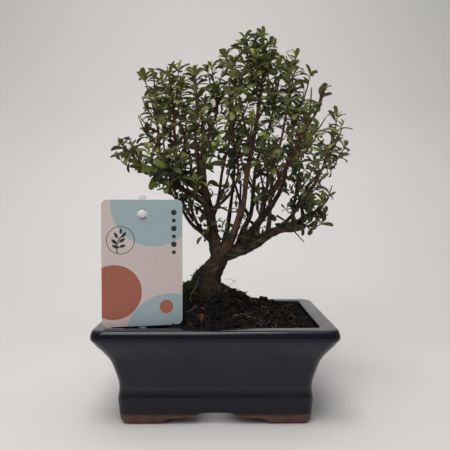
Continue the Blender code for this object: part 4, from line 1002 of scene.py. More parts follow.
def build_fallen_leaves():
    """Dry brown leaves and husks on the soil."""
    dice = random.Random(13)
    spots = list(LYING_LEAVES)
    spots += [(*soil_place(dice, 0.85), dice.uniform(3.5, 7.5), 0.42, dice.uniform(0, 6.28))
              for _ in range(FALLEN_LEAVES)]
    rows = []
    for x, y, length, slim, heading in spots:
        outward = unit((cos(heading), sin(heading), 0.22))
        up = unit(np.cross(outward, (-sin(heading), cos(heading), 0.0)) * -1.0 + (0, 0, 0.4))
        up = unit(up - outward * np.dot(up, outward))
        rows.append((x, y, soil_top(x, y) + 0.5, *outward, *up, length, length * slim, 0.5, 0.35, 0.2,
                     dice.random(), dice.random()))
    x, y = DRY_LEAF
    outward = unit((0.16, -0.12, 1.0))
    up = unit(np.cross(outward, (1.0, 0.25, 0.0)))
    rows.append((x, y, soil_top(x, y) + 0.2, *outward, *up, 7.6, 4.4, 0.6, 0.5, 0.4, 0.9, 1.0))
    points, faces, *_, chance = leaf_mesh_parts(rows)
    mesh = mesh_from("fallen_leaves", points, faces, chance=chance)
    f = Finish("dry_leaf", {"IOR": 1.4, "Specular IOR Level": 0.25})
    crumple = f.grain(1.4, 4, 0.6)
    colour = f.mix(f.named("chance"), (0.035, 0.020, 0.012), (0.260, 0.105, 0.062))
    colour = f.mix(f.step(crumple, 0.45, 0.7, (0.0, 0.6)), colour, (0.04, 0.02, 0.012))
    material = f.finish(colour, f.rough(crumple, 0.6, 0.85), f.bump(crumple, 0.25))
    place_piece(mesh, [material], ["soil"], sharp=40)


def surface_under(objects, x, y):
    """The highest place of some objects over a point, with its normal, or None where moss doesn't grow."""
    hits = []
    for obj in objects:
        found, place, normal, _ = obj.ray_cast(Vector((x * MM, y * MM, 0.14)), Vector((0.0, 0.0, -1.0)))
        if found:
            hits.append((place.z, place / MM, normal))
    if not hits:
        return None, None
    _, place, normal = max(hits, key=lambda hit: hit[0])
    return (place, normal) if MOSS_HEIGHTS[0] <= place.z <= MOSS_HEIGHTS[1] else (None, None)


def build_moss(colours, grounds):
    """Short moss leaves on the root flare and on the soil beside it."""
    dice = random.Random(3)
    rows = []
    for _ in range(MOSS_LEAVES):
        x, y = (dice.gauss(*spread) for spread in MOSS_SPREAD)
        hit, normal = surface_under(grounds, x, y)
        if hit is None:
            continue
        normal = np.array(normal) + (dice.gauss(0, 0.5), dice.gauss(0, 0.5), dice.gauss(0, 0.4))
        outward = unit(normal)
        up = unit(np.cross(outward, (dice.gauss(0, 1), dice.gauss(0, 1), dice.gauss(0, 1))))
        length = dice.uniform(1.0, 2.6)
        rows.append((*hit, *outward, *up, length, length * 0.34, 0.7, 0.3, 0.0, dice.random(), dice.random()))
    points, faces, *_, chance = leaf_mesh_parts(rows)
    mesh = mesh_from("moss", points, faces, chance=chance)
    f = Finish("moss_green", {"IOR": 1.4, "Specular IOR Level": 0.2})
    fine = f.grain(1.0, 3)
    colour = f.mix(f.named("chance"), shaded(colours.moss, 0.35), colours.moss)
    colour = f.mix(f.step(fine, 0.5, 0.75, (0.0, 0.5)), colour, shaded(colours.moss, 1.6))
    material = f.finish(colour, f.rough(fine, 0.65, 0.85), f.bump(fine, 0.1))
    place_piece(mesh, [material], ["soil"])


def soil_finish(colours):
    """Near-black peat with drier brown crumbs."""
    f = Finish("peaty_soil", {"IOR": 1.4, "Specular IOR Level": 0.22})
    fine = f.grain(0.55, 5, 0.7)
    lumps = f.grain(2.4, 4, 0.6, shift=3.0)
    dry = f.larger(f.step(lumps, 0.52, 0.72, (0.0, 0.8)), f.step(f.named("crumb_tint"), 0.35, 1.0))
    colour = f.mix(dry, colours.soil, colours.soil_brown)
    colour = f.mix(f.step(fine, 0.6, 0.78, (0.0, 0.55)), colour, shaded(colours.soil_brown, 1.8))
    return f.finish(colour, f.rough(fine, 0.72, 0.95), f.bump(fine, 0.4, f.bump(lumps, 0.5)))


# Wood

def tree_route(name, spacing):
    """A limb's points from the middle of the pot, smoothed and evenly spaced."""
    foot = (*TREE_FOOT, 0.0)
    values = [tuple(v + f for v, f in zip(point, foot)) for point in WOOD[name]]
    return even_route(smooth_route(values, 6), spacing)


def bark_height(x, y, z, along, size):
    """Relief of the bark from -1 to 1: furrows that follow the limb, broken by cross cracks and grain."""
    furrow = 1.0 - 2.2 * abs(noise.noise((x / size, y / size, along / (size * 4.5))))
    crack = 1.0 - 2.0 * abs(noise.noise((x / (size * 1.6), y / (size * 1.6), along / (size * 0.7) + 9.0)))
    return 0.62 * furrow + 0.2 * crack + 0.3 * noise.noise((x / 0.7, y / 0.7, z / 0.9))


def slimmed(radius):
    """Radius of a limb's bark, from the radius of its solid."""
    thin, thick = LIMB_SLIMMING
    return radius * (thin + (thick - thin) * np.clip((radius - 1.8) / 2.4, 0.0, 1.0))


def limb_relief(route, sides, seed, depth):
    """How much each point round a limb stands in or out: knobs, leaf scars and bark."""
    turns = np.linspace(0.0, 2 * pi, sides, endpoint=False)
    relief = np.ones((len(route), sides))
    for i, (x, y, z, radius) in enumerate(route):
        knob = 0.16 * noise.noise((seed, i * 0.23, 0.0)) + 0.07 * noise.noise((seed, i * 0.8, 3.0))
        for k, turn in enumerate(turns):
            cx, cy = radius * cos(turn), radius * sin(turn)
            bark = noise.noise((cx / 0.8 + seed, cy / 0.8, i * 0.35)) + 0.6 * noise.noise((cx + seed, cy, i * 1.3))
            relief[i, k] += knob + depth * bark / max(radius, 0.8)
    return relief


def heartwood_start(name):
    """The thick first part of a limb, which is carved with the trunk."""
    route = tree_route(name, CARVED_STEP)
    thin = route[:, 3] < HEARTWOOD_RADIUS
    return route[:int(np.argmax(thin)) if thin.any() else len(route)]


def nearest_wood(points, samples):
    """For each point the index of the wood sample whose surface is nearest."""
    nearest = np.empty(len(points), int)
    for start in range(0, len(points), 4000):
        block = points[start:start + 4000]
        gap = norm(block[:, None] - samples[None, :, :3], axis=2) - samples[None, :, 3]
        nearest[start:start + 4000] = gap.argmin(axis=1)
    return nearest


def build_heartwood(sizes, bark):
    """Trunk, root flare and the thick limb bases, carved as one piece with furrowed bark."""
    relief = sizes.bark_relief / MM
    parts, samples = [], []
    for index, name in enumerate(WOOD):
        route = tree_route(name, CARVED_STEP) if name in BURIED else heartwood_start(name)
        if len(route) < 3:
            continue
        body = route.copy()
        if name not in BURIED:
            body[:, 3] = slimmed(body[:, 3]) + 0.12
            body[-1, 3] -= 0.5
        parts.append(tube(body, 20))
        directions, _, _ = frames_along(route[:, :3])
        along = np.arange(len(route)) * CARVED_STEP + 31.0 * index
        samples.append(np.column_stack([route, directions, along, np.full(len(route), index)]))
    points, faces, _ = joined(parts)
    solid = loose_object("carved_wood", mesh_from("carved_wood", points, faces))
    remesh = solid.modifiers.new("skin", "REMESH")
    remesh.mode, remesh.voxel_size = "VOXEL", CARVED_VOXEL * MM
    smooth = solid.modifiers.new("soften", "SMOOTH")
    smooth.factor, smooth.iterations = 0.5, 7
    mesh = applied(solid)
    co, normals = (np.empty(len(mesh.vertices) * 3) for _ in range(2))
    mesh.vertices.foreach_get("co", co)
    mesh.vertices.foreach_get("normal", normals)
    co, normals = co.reshape(-1, 3) / MM, normals.reshape(-1, 3)
    samples = np.vstack(samples)
    near = samples[nearest_wood(co, samples)]
    offset = co - near[:, :3]
    directions = near[:, 4:7]
    along = near[:, 7] + (offset * directions).sum(axis=1)
    helper = unit(np.cross(directions, (0.35, 1.0, 0.1)))
    other = np.cross(directions, helper)
    x, y = (offset * helper).sum(axis=1), (offset * other).sum(axis=1)
    height = np.array([bark_height(a, b, c, s, FURROW_WIDTH) for a, b, c, s in zip(x, y, co[:, 2], along)])
    strength = np.clip(near[:, 3] / 5.0, 0.35, 1.25) * relief
    turn = np.arctan2(co[:, 1] - FLARE_MIDDLE[1], co[:, 0] - FLARE_MIDDLE[0])
    flute_count, flute_top, run_out = FLUTES
    low = np.clip((flute_top - co[:, 2]) / run_out, 0.0, 1.0)
    flutes = low * np.sin(flute_count * turn + 0.09 * co[:, 2] + 0.8 * np.sin(2 * turn))
    co += normals * (height * strength + flutes)[:, None]
    mesh.vertices.foreach_set("co", (co * MM).ravel())
    mesh.update()
    limbs = list(WOOD)
    names = [limbs[int(i)] for i in near[:, 8]]
    # the height of each point on the bark's relief, low in the furrows, where the finish paints shade
    carry(mesh, "furrow", np.clip(0.5 + 0.5 * height, 0, 1))
    carry(mesh, "red", [BARK_RED.get(name, 0.0) for name in names])
    carry(mesh, "olive", [BARK_OLIVE.get(name, 0.0) for name in names])
    place_piece(mesh, [bark], ["trunk_and_limbs"])


def join_tubes(name, tubes, depth, sides):
    """One mesh of many tubes, each a route with the red and olive of its bark."""
    parts, furrow = [], []
    for number, (route, _, _) in enumerate(tubes):
        relief = limb_relief(route, sides, 3.7 * number + 1.1, depth)
        points, faces = tube(route, sides, relief)
        parts.append((points, faces))
        shade = np.full(len(points), 0.55)
        shade[:relief.size] = np.clip(0.55 + 2.2 * (relief.ravel() - 1.0), 0, 1)
        furrow.append(shade)
    points, faces, counts = joined(parts)
    _, red, olive = zip(*tubes)
    return mesh_from(name, points, faces, furrow=np.concatenate(furrow), red=np.repeat(red, counts),
                     olive=np.repeat(olive, counts))


def with_collar(route, swell=0.35, length=4.0):
    """Thickens a limb where it leaves its parent."""
    route = np.array(route, float)
    route[:, 3] *= 1.0 + swell * np.exp(-gone_along(route) / length)
    return route


def limb_route(name):
    """The part of a limb that is a tube of its own, from just inside the carved wood."""
    route = tree_route(name, 1.1)
    thick = route[:, 3] >= HEARTWOOD_RADIUS + 0.25
    first = int(np.argmin(thick)) if thick[0] and not thick.all() else (len(route) if thick.all() else 0)
    return route[max(first - 2, 0):], first == 0


def build_limbs(bark):
    """The thinner limbs, as tubes from just inside the carved wood."""
    tubes = []
    for name in WOOD:
        if name in BURIED:
            continue
        route, is_whole = limb_route(name)
        if len(route) < 4:
            continue
        route[:, 3] = slimmed(route[:, 3])
        tubes.append((with_collar(route) if is_whole else route, BARK_RED.get(name, 0.0),
                      BARK_OLIVE.get(name, 0.0)))
    place_piece(join_tubes("slender_limbs", tubes, 0.1, 10), [bark], ["trunk_and_limbs"])


# Bare twigs, stubs and pruned ends that the tree shows: redness, olive, and x, y, z, radius from TREE_FOOT
TWIGS = (
    (0, 0.2, ((8, 0, 112, 2), (12, 0, 110.5, 1.5), (16, -1, 111, 1.1), (20, -2, 110.2, 0.5))),
    (0.3, 0.4, ((-31, -1, 162, 2.2), (-38, -3, 165.2, 2), (-44, -5, 166.4, 1.9), (-48.5, -6, 167.6, 1.7))),
    (0.3, 0.5, ((37.5, -9, 154, 1.7), (38.5, -12, 160, 1.5), (38.8, -13, 165, 1.3), (39, -13.5, 168.5, 0.9))),
    (0.8, 0.1, ((38.5, -8, 154, 1.4), (42, -11, 160, 1.2), (46, -13, 165, 1), (50, -15, 169, 0.8))),
    (0.5, 0, ((48, -14, 167, 0.8), (43, -16, 173, 0.7), (39, -17, 179, 0.6), (34, -18, 185, 0.45))),
    (0, 0, ((-13, 6, 170, 1.3), (-16, 3, 184, 1.1), (-18, 1, 198, 0.9), (-20, 0, 208, 0.6))),
    (0.1, 0, ((-12, 8, 205, 1.1), (-14, 4, 220, 0.9), (-19, 2, 234, 0.6))),
    (0.8, 0, ((2, -14, 242, 1), (7, -13, 249, 0.95), (13, -12, 256, 0.9), (19, -12, 262, 0.8))),
    (0.5, 0.3, ((42, -17, 140, 0.8), (48, -20, 136, 0.65), (54, -22, 129, 0.5), (61, -24, 121, 0.3))),
    (0.9, 0, ((76, 3, 222, 1.1), (77.5, 1, 228, 1.1), (79, -1, 234, 1), (81, -2, 239, 0.9))),
    (0, 0, ((6, 8, 120, 1.5), (12, 12, 132, 1.2), (16, 16, 148, 1), (17, 20, 166, 0.8))),
    (0.2, 0, ((23, 12, 140, 1.4), (16, 10, 152, 1.1), (12, 8, 164, 0.9), (6, 6, 176, 0.6))),
    (0, 0, ((-20, 4, 136, 1.3), (-26, 0, 146, 1.1), (-30, -4, 156, 0.9))),
    (0, 0, ((30, 10, 132, 1.4), (33, 6, 146, 1.1), (34, 4, 160, 0.9), (31, 3, 174, 0.7))),
    (0.6, 0, ((-6, -8, 140, 1.2), (0, -12, 152, 1), (5, -16, 164, 0.8), (8, -20, 176, 0.6))),
    (0.4, 0, ((-32, -8, 180, 1.1), (-26, -12, 190, 0.9), (-22, -14, 200, 0.7))),
    (0, 0.3, ((56, 6, 138, 1.4), (62, 10, 150, 1.1), (70, 10, 160, 0.9), (78, 12, 168, 0.7))),
    (0.2, 0.2, ((50, 15, 164, 1.3), (44, 10, 176, 1.1), (40, 6, 190, 0.9), (36, 2, 204, 0.6))),
    (0.1, 0.1, ((27, 14, 160, 1.2), (20, 16, 174, 1), (16, 14, 190, 0.8), (12, 10, 204, 0.6))),
    (0.2, 0, ((-24, 10, 164, 1.2), (-22, 6, 178, 1), (-24, 2, 192, 0.8), (-28, -2, 206, 0.6))),
)
KNOT = ((17.5, -1.5, 121.5, 3), (20.5, -3.4, 122.6, 3.2), (22.2, -4.8, 123.2, 3.3), (22.9, -5.3, 123.4, 2.4))


def build_twigs(bark):
    """Bare twigs, pruned stubs and the oval pruned knot on the right of the trunk."""
    tubes = []
    for red, olive, values in TWIGS + ((0.2, 0.5, KNOT),):
        placed = [(x + TREE_FOOT[0], y, z + TREE_FOOT[2], radius) for x, y, z, radius in values]
        tubes.append((with_collar(even_route(smooth_route(placed, 5), 0.9), 0.3, 2.0), red, olive))
    place_piece(join_tubes("twigs_and_stubs", tubes, 0.08, 9), [bark], ["trunk_and_limbs"])


def bark_finish(colours):
    """Dark furrowed bark with painted shade in its furrows: brown ridges, red or olive where the limb is young, lichen
    low on the trunk.
    """
    f = Finish("cotoneaster_bark", {"IOR": 1.45, "Specular IOR Level": 0.3})
    furrow = f.named("furrow")
    fine = f.grain(0.7, 4, 0.65)
    patch = f.grain(4.5, 3, shift=2.0)
    unshaded_ridge = f.step(f.plus(f.times(furrow, 0.7), f.times(fine, 0.45)), 0.44, 0.80)
    colour = f.mix(f.step(patch, 0.3, 0.7), colours.bark_brown, shaded(colours.bark_brown, 0.6))
    colour = f.mix(f.times(f.named("red"), f.step(patch, 0.2, 0.7, (0.95, 0.6))), colour, colours.bark_red)
    colour = f.mix(f.times(f.named("olive"), f.step(patch, 0.25, 0.75, (0.5, 0.95))), colour,
                   colours.bark_olive)
    colour = f.mix(f.step(f.grain(6.0, 3, 0.6, shift=13.0), 0.36, 0.58), shaded(colours.bark_brown, 0.36), colour)
    # painted shade: the dark bark colour fills the furrows of the relief, broken up by a fine grain
    colour = f.mix(unshaded_ridge, colours.bark_dark_and_shade, colour)
    grey = f.step(f.grain(2.6, 4, 0.6, shift=7.0), 0.60, 0.68, (0.0, 0.7))
    colour = f.mix(f.times(grey, unshaded_ridge), colour, colours.lichen)
    x, z = f.part(0), f.part(2)
    young = f.times(f.step(z, 145.0, 200.0), f.step(patch, 0.2, 0.7, (0.85, 0.5)))
    colour = f.mix(young, colour, shaded(colours.bark_red, 1.15))
    low_left = f.times(f.step(x, -6.0, -24.0), f.step(z, 103.0, 89.0))
    moss = f.times(low_left, f.step(f.grain(2.2, 4, shift=11.0), 0.42, 0.6))
    colour = f.mix(moss, colour, colours.moss)
    damp = f.times(f.step(z, 150.0, 118.0), f.step(f.grain(3.4, 4, 0.6, shift=17.0), 0.55, 0.63))
    colour = f.mix(f.times(damp, 0.75), colour, shaded(colours.moss, 0.6))
    earth = f.times(f.step(z, 106.0, 82.0), f.step(f.grain(3.0, 4, shift=5.0), 0.3, 0.6))
    left_foot = f.times(f.times(f.step(x, -4.0, -12.0), f.step(z, 110.0, 99.0)), 0.85)
    earth = f.larger(earth, f.times(left_foot, f.other_than(moss)))
    colour = f.mix(earth, colour, colours.soil)
    rough = f.rough(fine, 0.62, 0.86)
    flakes = f.bump(fine, 0.42, f.bump(f.grain(2.4, 3, shift=6.0), 0.35))
    return f.finish(colour, rough, f.bump(f.grain(0.28, 2, shift=3.0), 0.08, flakes))


# Leaves

LEAF_ROWS = (             # share of the length, half width as a share of the widest, bend of the margin
    (0.07, 0.09, 0.00), (0.17, 0.30, 0.03), (0.32, 0.68, 0.08), (0.48, 0.94, 0.10), (0.64, 1.00, 0.11),
    (0.79, 0.95, 0.10), (0.91, 0.74, 0.07), (0.98, 0.40, 0.03),
)
MIDRIB_SHARES = np.array((0.35, 0.62, 0.85, 1.0))    # where a leaf's midrib is looked at
LEAF_THICKNESS = 0.42     # at the midrib
LEAF_ROOM = 1.5           # least distance between the midribs of two leaves
LEAF_OFF_WOOD = 0.5       # least distance between a midrib and the wood
LEAF_TRIES = 5
TRY_TURN = radians(37)
TONE_FOOT, TONE_RISE = 153.0, 115.0    # the height where the leaves' painted light begins to grow, and over how much
LOW_SPRIGS_FROM = 0.16    # share of a limb's length where its few low sprigs begin
BARE_LOW_DOWN = ("low_right",)
LOW_SPRIG_GAPS, LOW_SPRIG_REACH, LOW_SPRIG_LEAVES = (9.0, 20.0), (1.5, 6.0), (2, 3, 3, 4)
SPUR_REACHES, SPUR_LEAVES = (1.0, 1.5, 2.0, 2.6, 3.6, 5.5), (3, 4, 4, 5, 5, 6)
SIDE_SHOOT_SHARE, SIDE_SHOOT_REACH = 0.26, (8.0, 17.0)
SHOOT_LEAVES_FROM = 0.14  # share of a shoot's length where its leaves begin
SIDE_ROSETTE_SHARE = 0.3
CROWN_HALF_DEPTH = 60.0
SHOWN_SHARE = 0.80        # how often a leaf in front of a limb in view is left out
CROWN_TOP = 288.0
CROWN_SIDES = (-83.0, 103.0)


class Foliage:
    """Sets leaves one by one where there is room."""

    def __init__(self, sizes):
        self.length = sizes.leaf_length / MM
        self.slimness = sizes.leaf_slimness
        self.dice = random.Random(20)
        self.taken = np.empty((0, 3))
        routes = {name: tree_route(name, 2.0) for name in WOOD}
        self.wood = np.vstack(list(routes.values()))
        self.shown = np.vstack([routes[name][(routes[name][:, 2] > low) & (routes[name][:, 2] < high)]
                                for name, low, high in SHOWN_LIMBS])
        self.shown_seen = self.seen(self.shown)
        self.shown_share = SHOWN_SHARE

    def seen(self, points):
        """Sideways and upward slope, and distance, of points looked at from the front."""
        offset = points[:, :3] - SHOWN_FROM
        return np.column_stack([offset[:, 0] / offset[:, 1], offset[:, 2] / offset[:, 1], offset[:, 1]])

    def hides_limb(self, midrib):
        """Whether a leaf would stand in front of a limb that stays in view."""
        leaf = self.seen(midrib[1:])
        gap = np.abs(self.shown_seen[:, None, :2] - leaf[None, :, :2]) * self.shown_seen[:, None, 2:]
        close = (gap[:, :, 0] < self.shown[:, None, 3] + 0.9) & (gap[:, :, 1] < 2.0)
        return bool((close & (leaf[None, :, 2] < self.shown_seen[:, None, 2])).any())

    def outside_crown(self, place):
        """Whether a place stands outside the crown's outline."""
        reach = -SHOWN_FROM[1] / (place[1] - SHOWN_FROM[1])
        x, z = (SHOWN_FROM[k] + (place[k] - SHOWN_FROM[k]) * reach for k in (0, 2))
        inside = False
        for (x1, z1), (x2, z2) in zip(CROWN_OUTLINE, CROWN_OUTLINE[1:] + CROWN_OUTLINE[:1]):
            if (z1 > z) != (z2 > z) and x < x1 + (x2 - x1) * (z - z1) / (z2 - z1):
                inside = not inside
        return not inside

    def try_leaf(self, root, outward, up, length, bend, own_from):
        """The midrib of a leaf, or None where it would run into wood or another leaf.

        Midrib points from own_from on belong to the same shoot, and the leaf may come close to them.
        """
        turn = bend * MIDRIB_SHARES
        along = length * np.sin(turn) / bend
        down = length * (1.0 - np.cos(turn)) / bend
        midrib = root + outward * along[:, None] - up * down[:, None]
        if abs(midrib[:, 1]).max() > CROWN_HALF_DEPTH or midrib[:, 2].max() > CROWN_TOP:
            return None
        if midrib[:, 0].min() < CROWN_SIDES[0] or midrib[:, 0].max() > CROWN_SIDES[1]:
            return None
        gap = norm(midrib[1:, None] - self.wood[None, :, :3], axis=2) - self.wood[None, :, 3]
        if gap.min() < LEAF_OFF_WOOD:
            return None
        others = self.taken[:own_from]
        if self.dice.random() < self.shown_share and self.hides_limb(midrib):
            return None
        if len(others) and np.abs(others[:, None] - midrib[None, 1:]).max(axis=2).min() < LEAF_ROOM:
            return None
        return midrib

    def set_leaf(self, rows, root, axis, turn, pitch, length, tone, own_from, bend=None):
        """Adds one leaf that leans from an axis by pitch degrees and arches back; tries a few turns."""
        axis = unit(axis)
        u = crosswise(axis)
        v = np.cross(axis, u)
        bend = bend or radians(self.dice.uniform(22, 82))
        for attempt in range(LEAF_TRIES):
            angle = turn + attempt * TRY_TURN * (-1) ** attempt
            lean = radians(pitch + self.dice.uniform(-9, 9))
            side = u * cos(angle) + v * sin(angle)
            outward = unit(axis * cos(lean) + side * sin(lean))
            up = unit(axis - outward * np.dot(axis, outward))
            midrib = self.try_leaf(root, outward, up, length, bend, own_from)
            if midrib is None:
                continue
            if not self.outside_crown(midrib[1]):
                width = length * self.slimness * self.dice.uniform(0.85, 1.18)
                fold, twist = radians(self.dice.uniform(6, 30)), radians(self.dice.uniform(-24, 24))
                rows.append((*root, *outward, *up, length, width, bend, fold, twist,
                             min(max(tone, 0.0), 1.0), self.dice.random()))
                self.taken = np.vstack([self.taken, midrib])
            return

    def rosette(self, rows, foot, axis, count, size, tone, own_from, pitch=(72, 22)):
        """Leaves round the end of a spur, the innermost youngest, smallest and most upright."""
        first = self.dice.uniform(0, 2 * pi)
        for i in range(count):
            share = i / max(count - 1, 1)
            lean = pitch[0] + (pitch[1] - pitch[0]) * share
            length = self.length * size * (1.0 - 0.34 * share) * self.dice.uniform(0.8, 1.22)
            root = foot + unit(axis) * (0.35 * i)
            self.set_leaf(rows, root, axis, first + i * GOLDEN_TURN, lean, length, tone + 0.25 * share, own_from)

    def sprig(self, rows, stems, tip, axis, count, size, tone, own_from, stalk):
        """A rosette, with its stalk where at least one leaf found room."""
        before = len(rows)
        self.rosette(rows, tip, axis, count, size, tone, own_from)
        if len(rows) > before:
            stems.append(even_route(smooth_route(stalk, 3), 1.2))


def leaf_mesh_parts(rows):
    """Points, faces and marks of all leaves in a table, one closed blade each."""
    t = np.array(rows, float)
    count = len(t)
    root, outward, up = t[:, 0:3], t[:, 3:6], t[:, 6:9]
    length, width, bend, fold, twist, tone, chance = t[:, 9:16].T
    across = unit(np.cross(outward, up))
    per_leaf = len(LEAF_ROWS) * 6 + 2
    points = np.empty((count, per_leaf, 3))
    marks = np.zeros((per_leaf, 2))    # across, along

    def spine(share):
        turn = bend * share
        forward = outward * (length * np.sin(turn) / bend)[:, None]
        normal = up * np.cos(turn)[:, None] + outward * np.sin(turn)[:, None]
        return root + forward - up * (length * (1 - np.cos(turn)) / bend)[:, None], normal

    for r, (share, half, crown) in enumerate(LEAF_ROWS):
        middle, normal = spine(share)
        curl = twist * share
        side = across * np.cos(curl)[:, None] + normal * np.sin(curl)[:, None]
        normal = normal * np.cos(curl)[:, None] - across * np.sin(curl)[:, None]
        reach = (half * width / 2)[:, None]
        ripple = 0.05 * np.sin(9.0 * share + 40.0 * chance)[:, None]
        lift = reach * (np.sin(fold)[:, None] * 0.8 + ripple)
        flat = side * (reach * np.cos(fold)[:, None])
        dome = (crown * width * 0.5)[:, None] * normal
        thick = LEAF_THICKNESS * (0.45 + 0.55 * (1.0 - share)) * normal
        block = points[:, r * 6:r * 6 + 6]
        block[:, 0] = middle - flat + normal * lift
        block[:, 1] = middle - flat * 0.55 + normal * lift * 0.5 + dome + thick * 0.25
        block[:, 2] = middle + thick * 0.15
        block[:, 3] = middle + flat * 0.55 + normal * lift * 0.5 + dome + thick * 0.25
        block[:, 4] = middle + flat + normal * lift
        block[:, 5] = middle - thick * 0.85
        marks[r * 6:r * 6 + 6] = [(1, share), (0.5, share), (0, share), (0.5, share), (1, share), (0, share)]
    points[:, -2] = root
    points[:, -1] = spine(1.0)[0]
    marks[-2:] = [(0, 0), (0, 1)]
    faces, under = [], []
    last = len(LEAF_ROWS) - 1
    for k in range(6):
        j = (k + 1) % 6
        is_under = k >= 4
        faces.append((per_leaf - 2, j, k))
        under.append(is_under)
        for r in range(last):
            faces.append((r * 6 + k, r * 6 + j, r * 6 + 6 + j, r * 6 + 6 + k))
            under.append(is_under)
        faces.append((last * 6 + k, last * 6 + j, per_leaf - 1))
        under.append(is_under)
    faces = [[i + n * per_leaf for i in face] for n in range(count) for face in faces]
    return (points.reshape(-1, 3), faces, np.tile(np.array(under, int), count), np.tile(marks, (count, 1)),
            np.repeat(tone, per_leaf), np.repeat(chance, per_leaf))


def leafy_piece(name, rows, stems, finishes, replaced=()):
    """A piece of leaves, and of the stems that carry them."""
    *leaves, under, marks, tone, chance = leaf_mesh_parts(rows)
    points, faces, counts = joined([leaves] + [tube(route, 6) for route in stems])
    bare = sum(counts[1:])
    marks = np.vstack([marks, np.zeros((bare, 2))])
    tone = np.concatenate([tone] + [np.linspace(0.2, 0.8, count) for count in counts[1:]])
    mesh = mesh_from(name, points, faces, across=marks[:, 0], along=marks[:, 1], tone=tone,
                     chance=np.r_[chance, np.full(bare, 0.5)])
    mesh.polygons.foreach_set("material_index", [*under, *[2] * (len(faces) - len(under))])
    ends = np.empty(len(mesh.edges) * 2, int)
    mesh.edges.foreach_get("vertices", ends)
    ends = ends.reshape(-1, 2)
    is_margin = (marks[:, 0] > 0.9) & (marks[:, 1] > 0)
    layer = mesh.attributes.new("sharp_edge", "BOOLEAN", "EDGE")
    layer.data.foreach_set("value", is_margin[ends].all(axis=1))
    place_piece(mesh, finishes, replaced)


def painted_height_light(z):
    """Tone of the leaves at a height, as painted light: dark low in the crown, where shade falls, and lighter up to
    the top.
    """
    return 0.18 + 0.50 * min(max((z - TONE_FOOT) / TONE_RISE, 0.0), 1.0)


def painted_light_at(place):
    """Tone of the leaves at a place, as painted light: lighter with height and on the outside of the crown, darker
    inside it.
    """
    return painted_height_light(place[2]) + (0.30 * min(hypot(place[0] - 8.0, place[1]) / 75.0, 1.2) - 0.14)


def grow_side_shoot(foliage, rows, stems, foot, side, direction):
    """A short leafy shoot from the upper part of a limb."""
    dice = foliage.dice
    reach = dice.uniform(*SIDE_SHOOT_REACH)
    middle = foot + unit(side * 0.9 + direction * 0.4) * reach * 0.45
    tip = middle + unit(side * 0.25 + direction * 0.5 + 0.9 * UP) * reach * 0.55
    is_beside = abs(tip[1]) > CROWN_HALF_DEPTH - 4 or not CROWN_SIDES[0] < tip[0] < CROWN_SIDES[1]
    if is_beside or foliage.outside_crown(tip):
        return
    stem = even_route(smooth_route([(*foot, 0.6), (*middle, 0.5), (*tip, 0.3)], 4), 1.2)
    own = len(foliage.taken)
    added = len(rows)
    turn = dice.uniform(0, 2 * pi)
    ahead, across, other = frames_along(stem[:, :3])
    for i in range(3, len(stem) - 1, 2):
        turn += GOLDEN_TURN
        around = across[i] * cos(turn) + other[i] * sin(turn)
        share = i / len(stem)
        tone = painted_light_at(stem[i]) + 0.2 * share + dice.uniform(-0.12, 0.12)
        foliage.set_leaf(rows, stem[i, :3] + around * 0.2, unit(ahead[i] + 0.1 * UP), turn, 62 - 24 * share,
                         foliage.length * dice.uniform(0.7, 1.1), tone, own)
    foliage.rosette(rows, stem[-1, :3] - ahead[-1] * 0.6, ahead[-1], 5, 0.85, painted_height_light(tip[2]) + 0.28, own,
                    (58, 12))
    if len(rows) > added:
        stems.append(stem)


def grow_spurs(foliage, name, spacing):
    """Leafy spurs up the outer part of a limb, and the short stalks that carry them."""
    dice = foliage.dice
    route = tree_route(name, 1.0)
    total = len(route) - 1.0
    begin = LEAFY_FROM.get(name, LEAFY_FROM_USUAL) * total
    directions, across, other = frames_along(route[:, :3])
    rows, stems = [], []
    place, turn = begin, dice.uniform(0, 2 * pi)
    low = begin if name in BARE_LOW_DOWN else total * LOW_SPRIGS_FROM
    while low < begin - 4.0:
        i = int(low)
        turn += dice.uniform(1.2, 2.6)
        side = across[i] * cos(turn) + other[i] * sin(turn)
        foot = route[i, :3] + side * route[i, 3] * 0.7
        axis = unit(side * 0.8 + directions[i] * 0.5 + 0.3 * UP)
        tip = foot + axis * dice.uniform(*LOW_SPRIG_REACH)
        foliage.sprig(rows, stems, tip, axis, dice.choice(LOW_SPRIG_LEAVES), dice.uniform(0.6, 0.85),
                      dice.uniform(0.0, 0.3), len(foliage.taken), [(*foot, 0.5), (*tip, 0.3)])
        low += dice.uniform(*LOW_SPRIG_GAPS)
    while place < total - 1.0:
        i = int(place)
        turn += GOLDEN_TURN + dice.uniform(-0.4, 0.4)
        side = across[i] * cos(turn) + other[i] * sin(turn)
        radius = route[i, 3]
        reach = dice.choice(SPUR_REACHES)
        axis = unit(side * 0.85 + directions[i] * dice.uniform(0.3, 0.7) + 0.35 * UP)
        foot = route[i, :3] + side * radius * 0.6
        tip = foot + unit(side + directions[i] * 0.3) * reach * 0.5 + axis * reach * 0.6
        upper = (place - begin) / max(total - begin, 1.0)
        tone = painted_light_at(tip) + 0.18 * upper - 0.2 + dice.uniform(-0.2, 0.2)
        size = dice.uniform(0.48, 0.70) + 0.20 * upper
        middle, end = foot + unit(side) * (reach * 0.5), tip + axis * 0.8
        foliage.sprig(rows, stems, tip, axis, dice.choice(SPUR_LEAVES), size, tone, len(foliage.taken),
                      [(*foot, 0.55), (*middle, 0.45), (*end, 0.28)])
        if upper > 0.5 and dice.random() < SIDE_SHOOT_SHARE:
            grow_side_shoot(foliage, rows, stems, foot, side, directions[i])
        place += spacing * dice.uniform(0.75, 1.3) * (1.25 - 0.35 * upper)
    return rows, stems


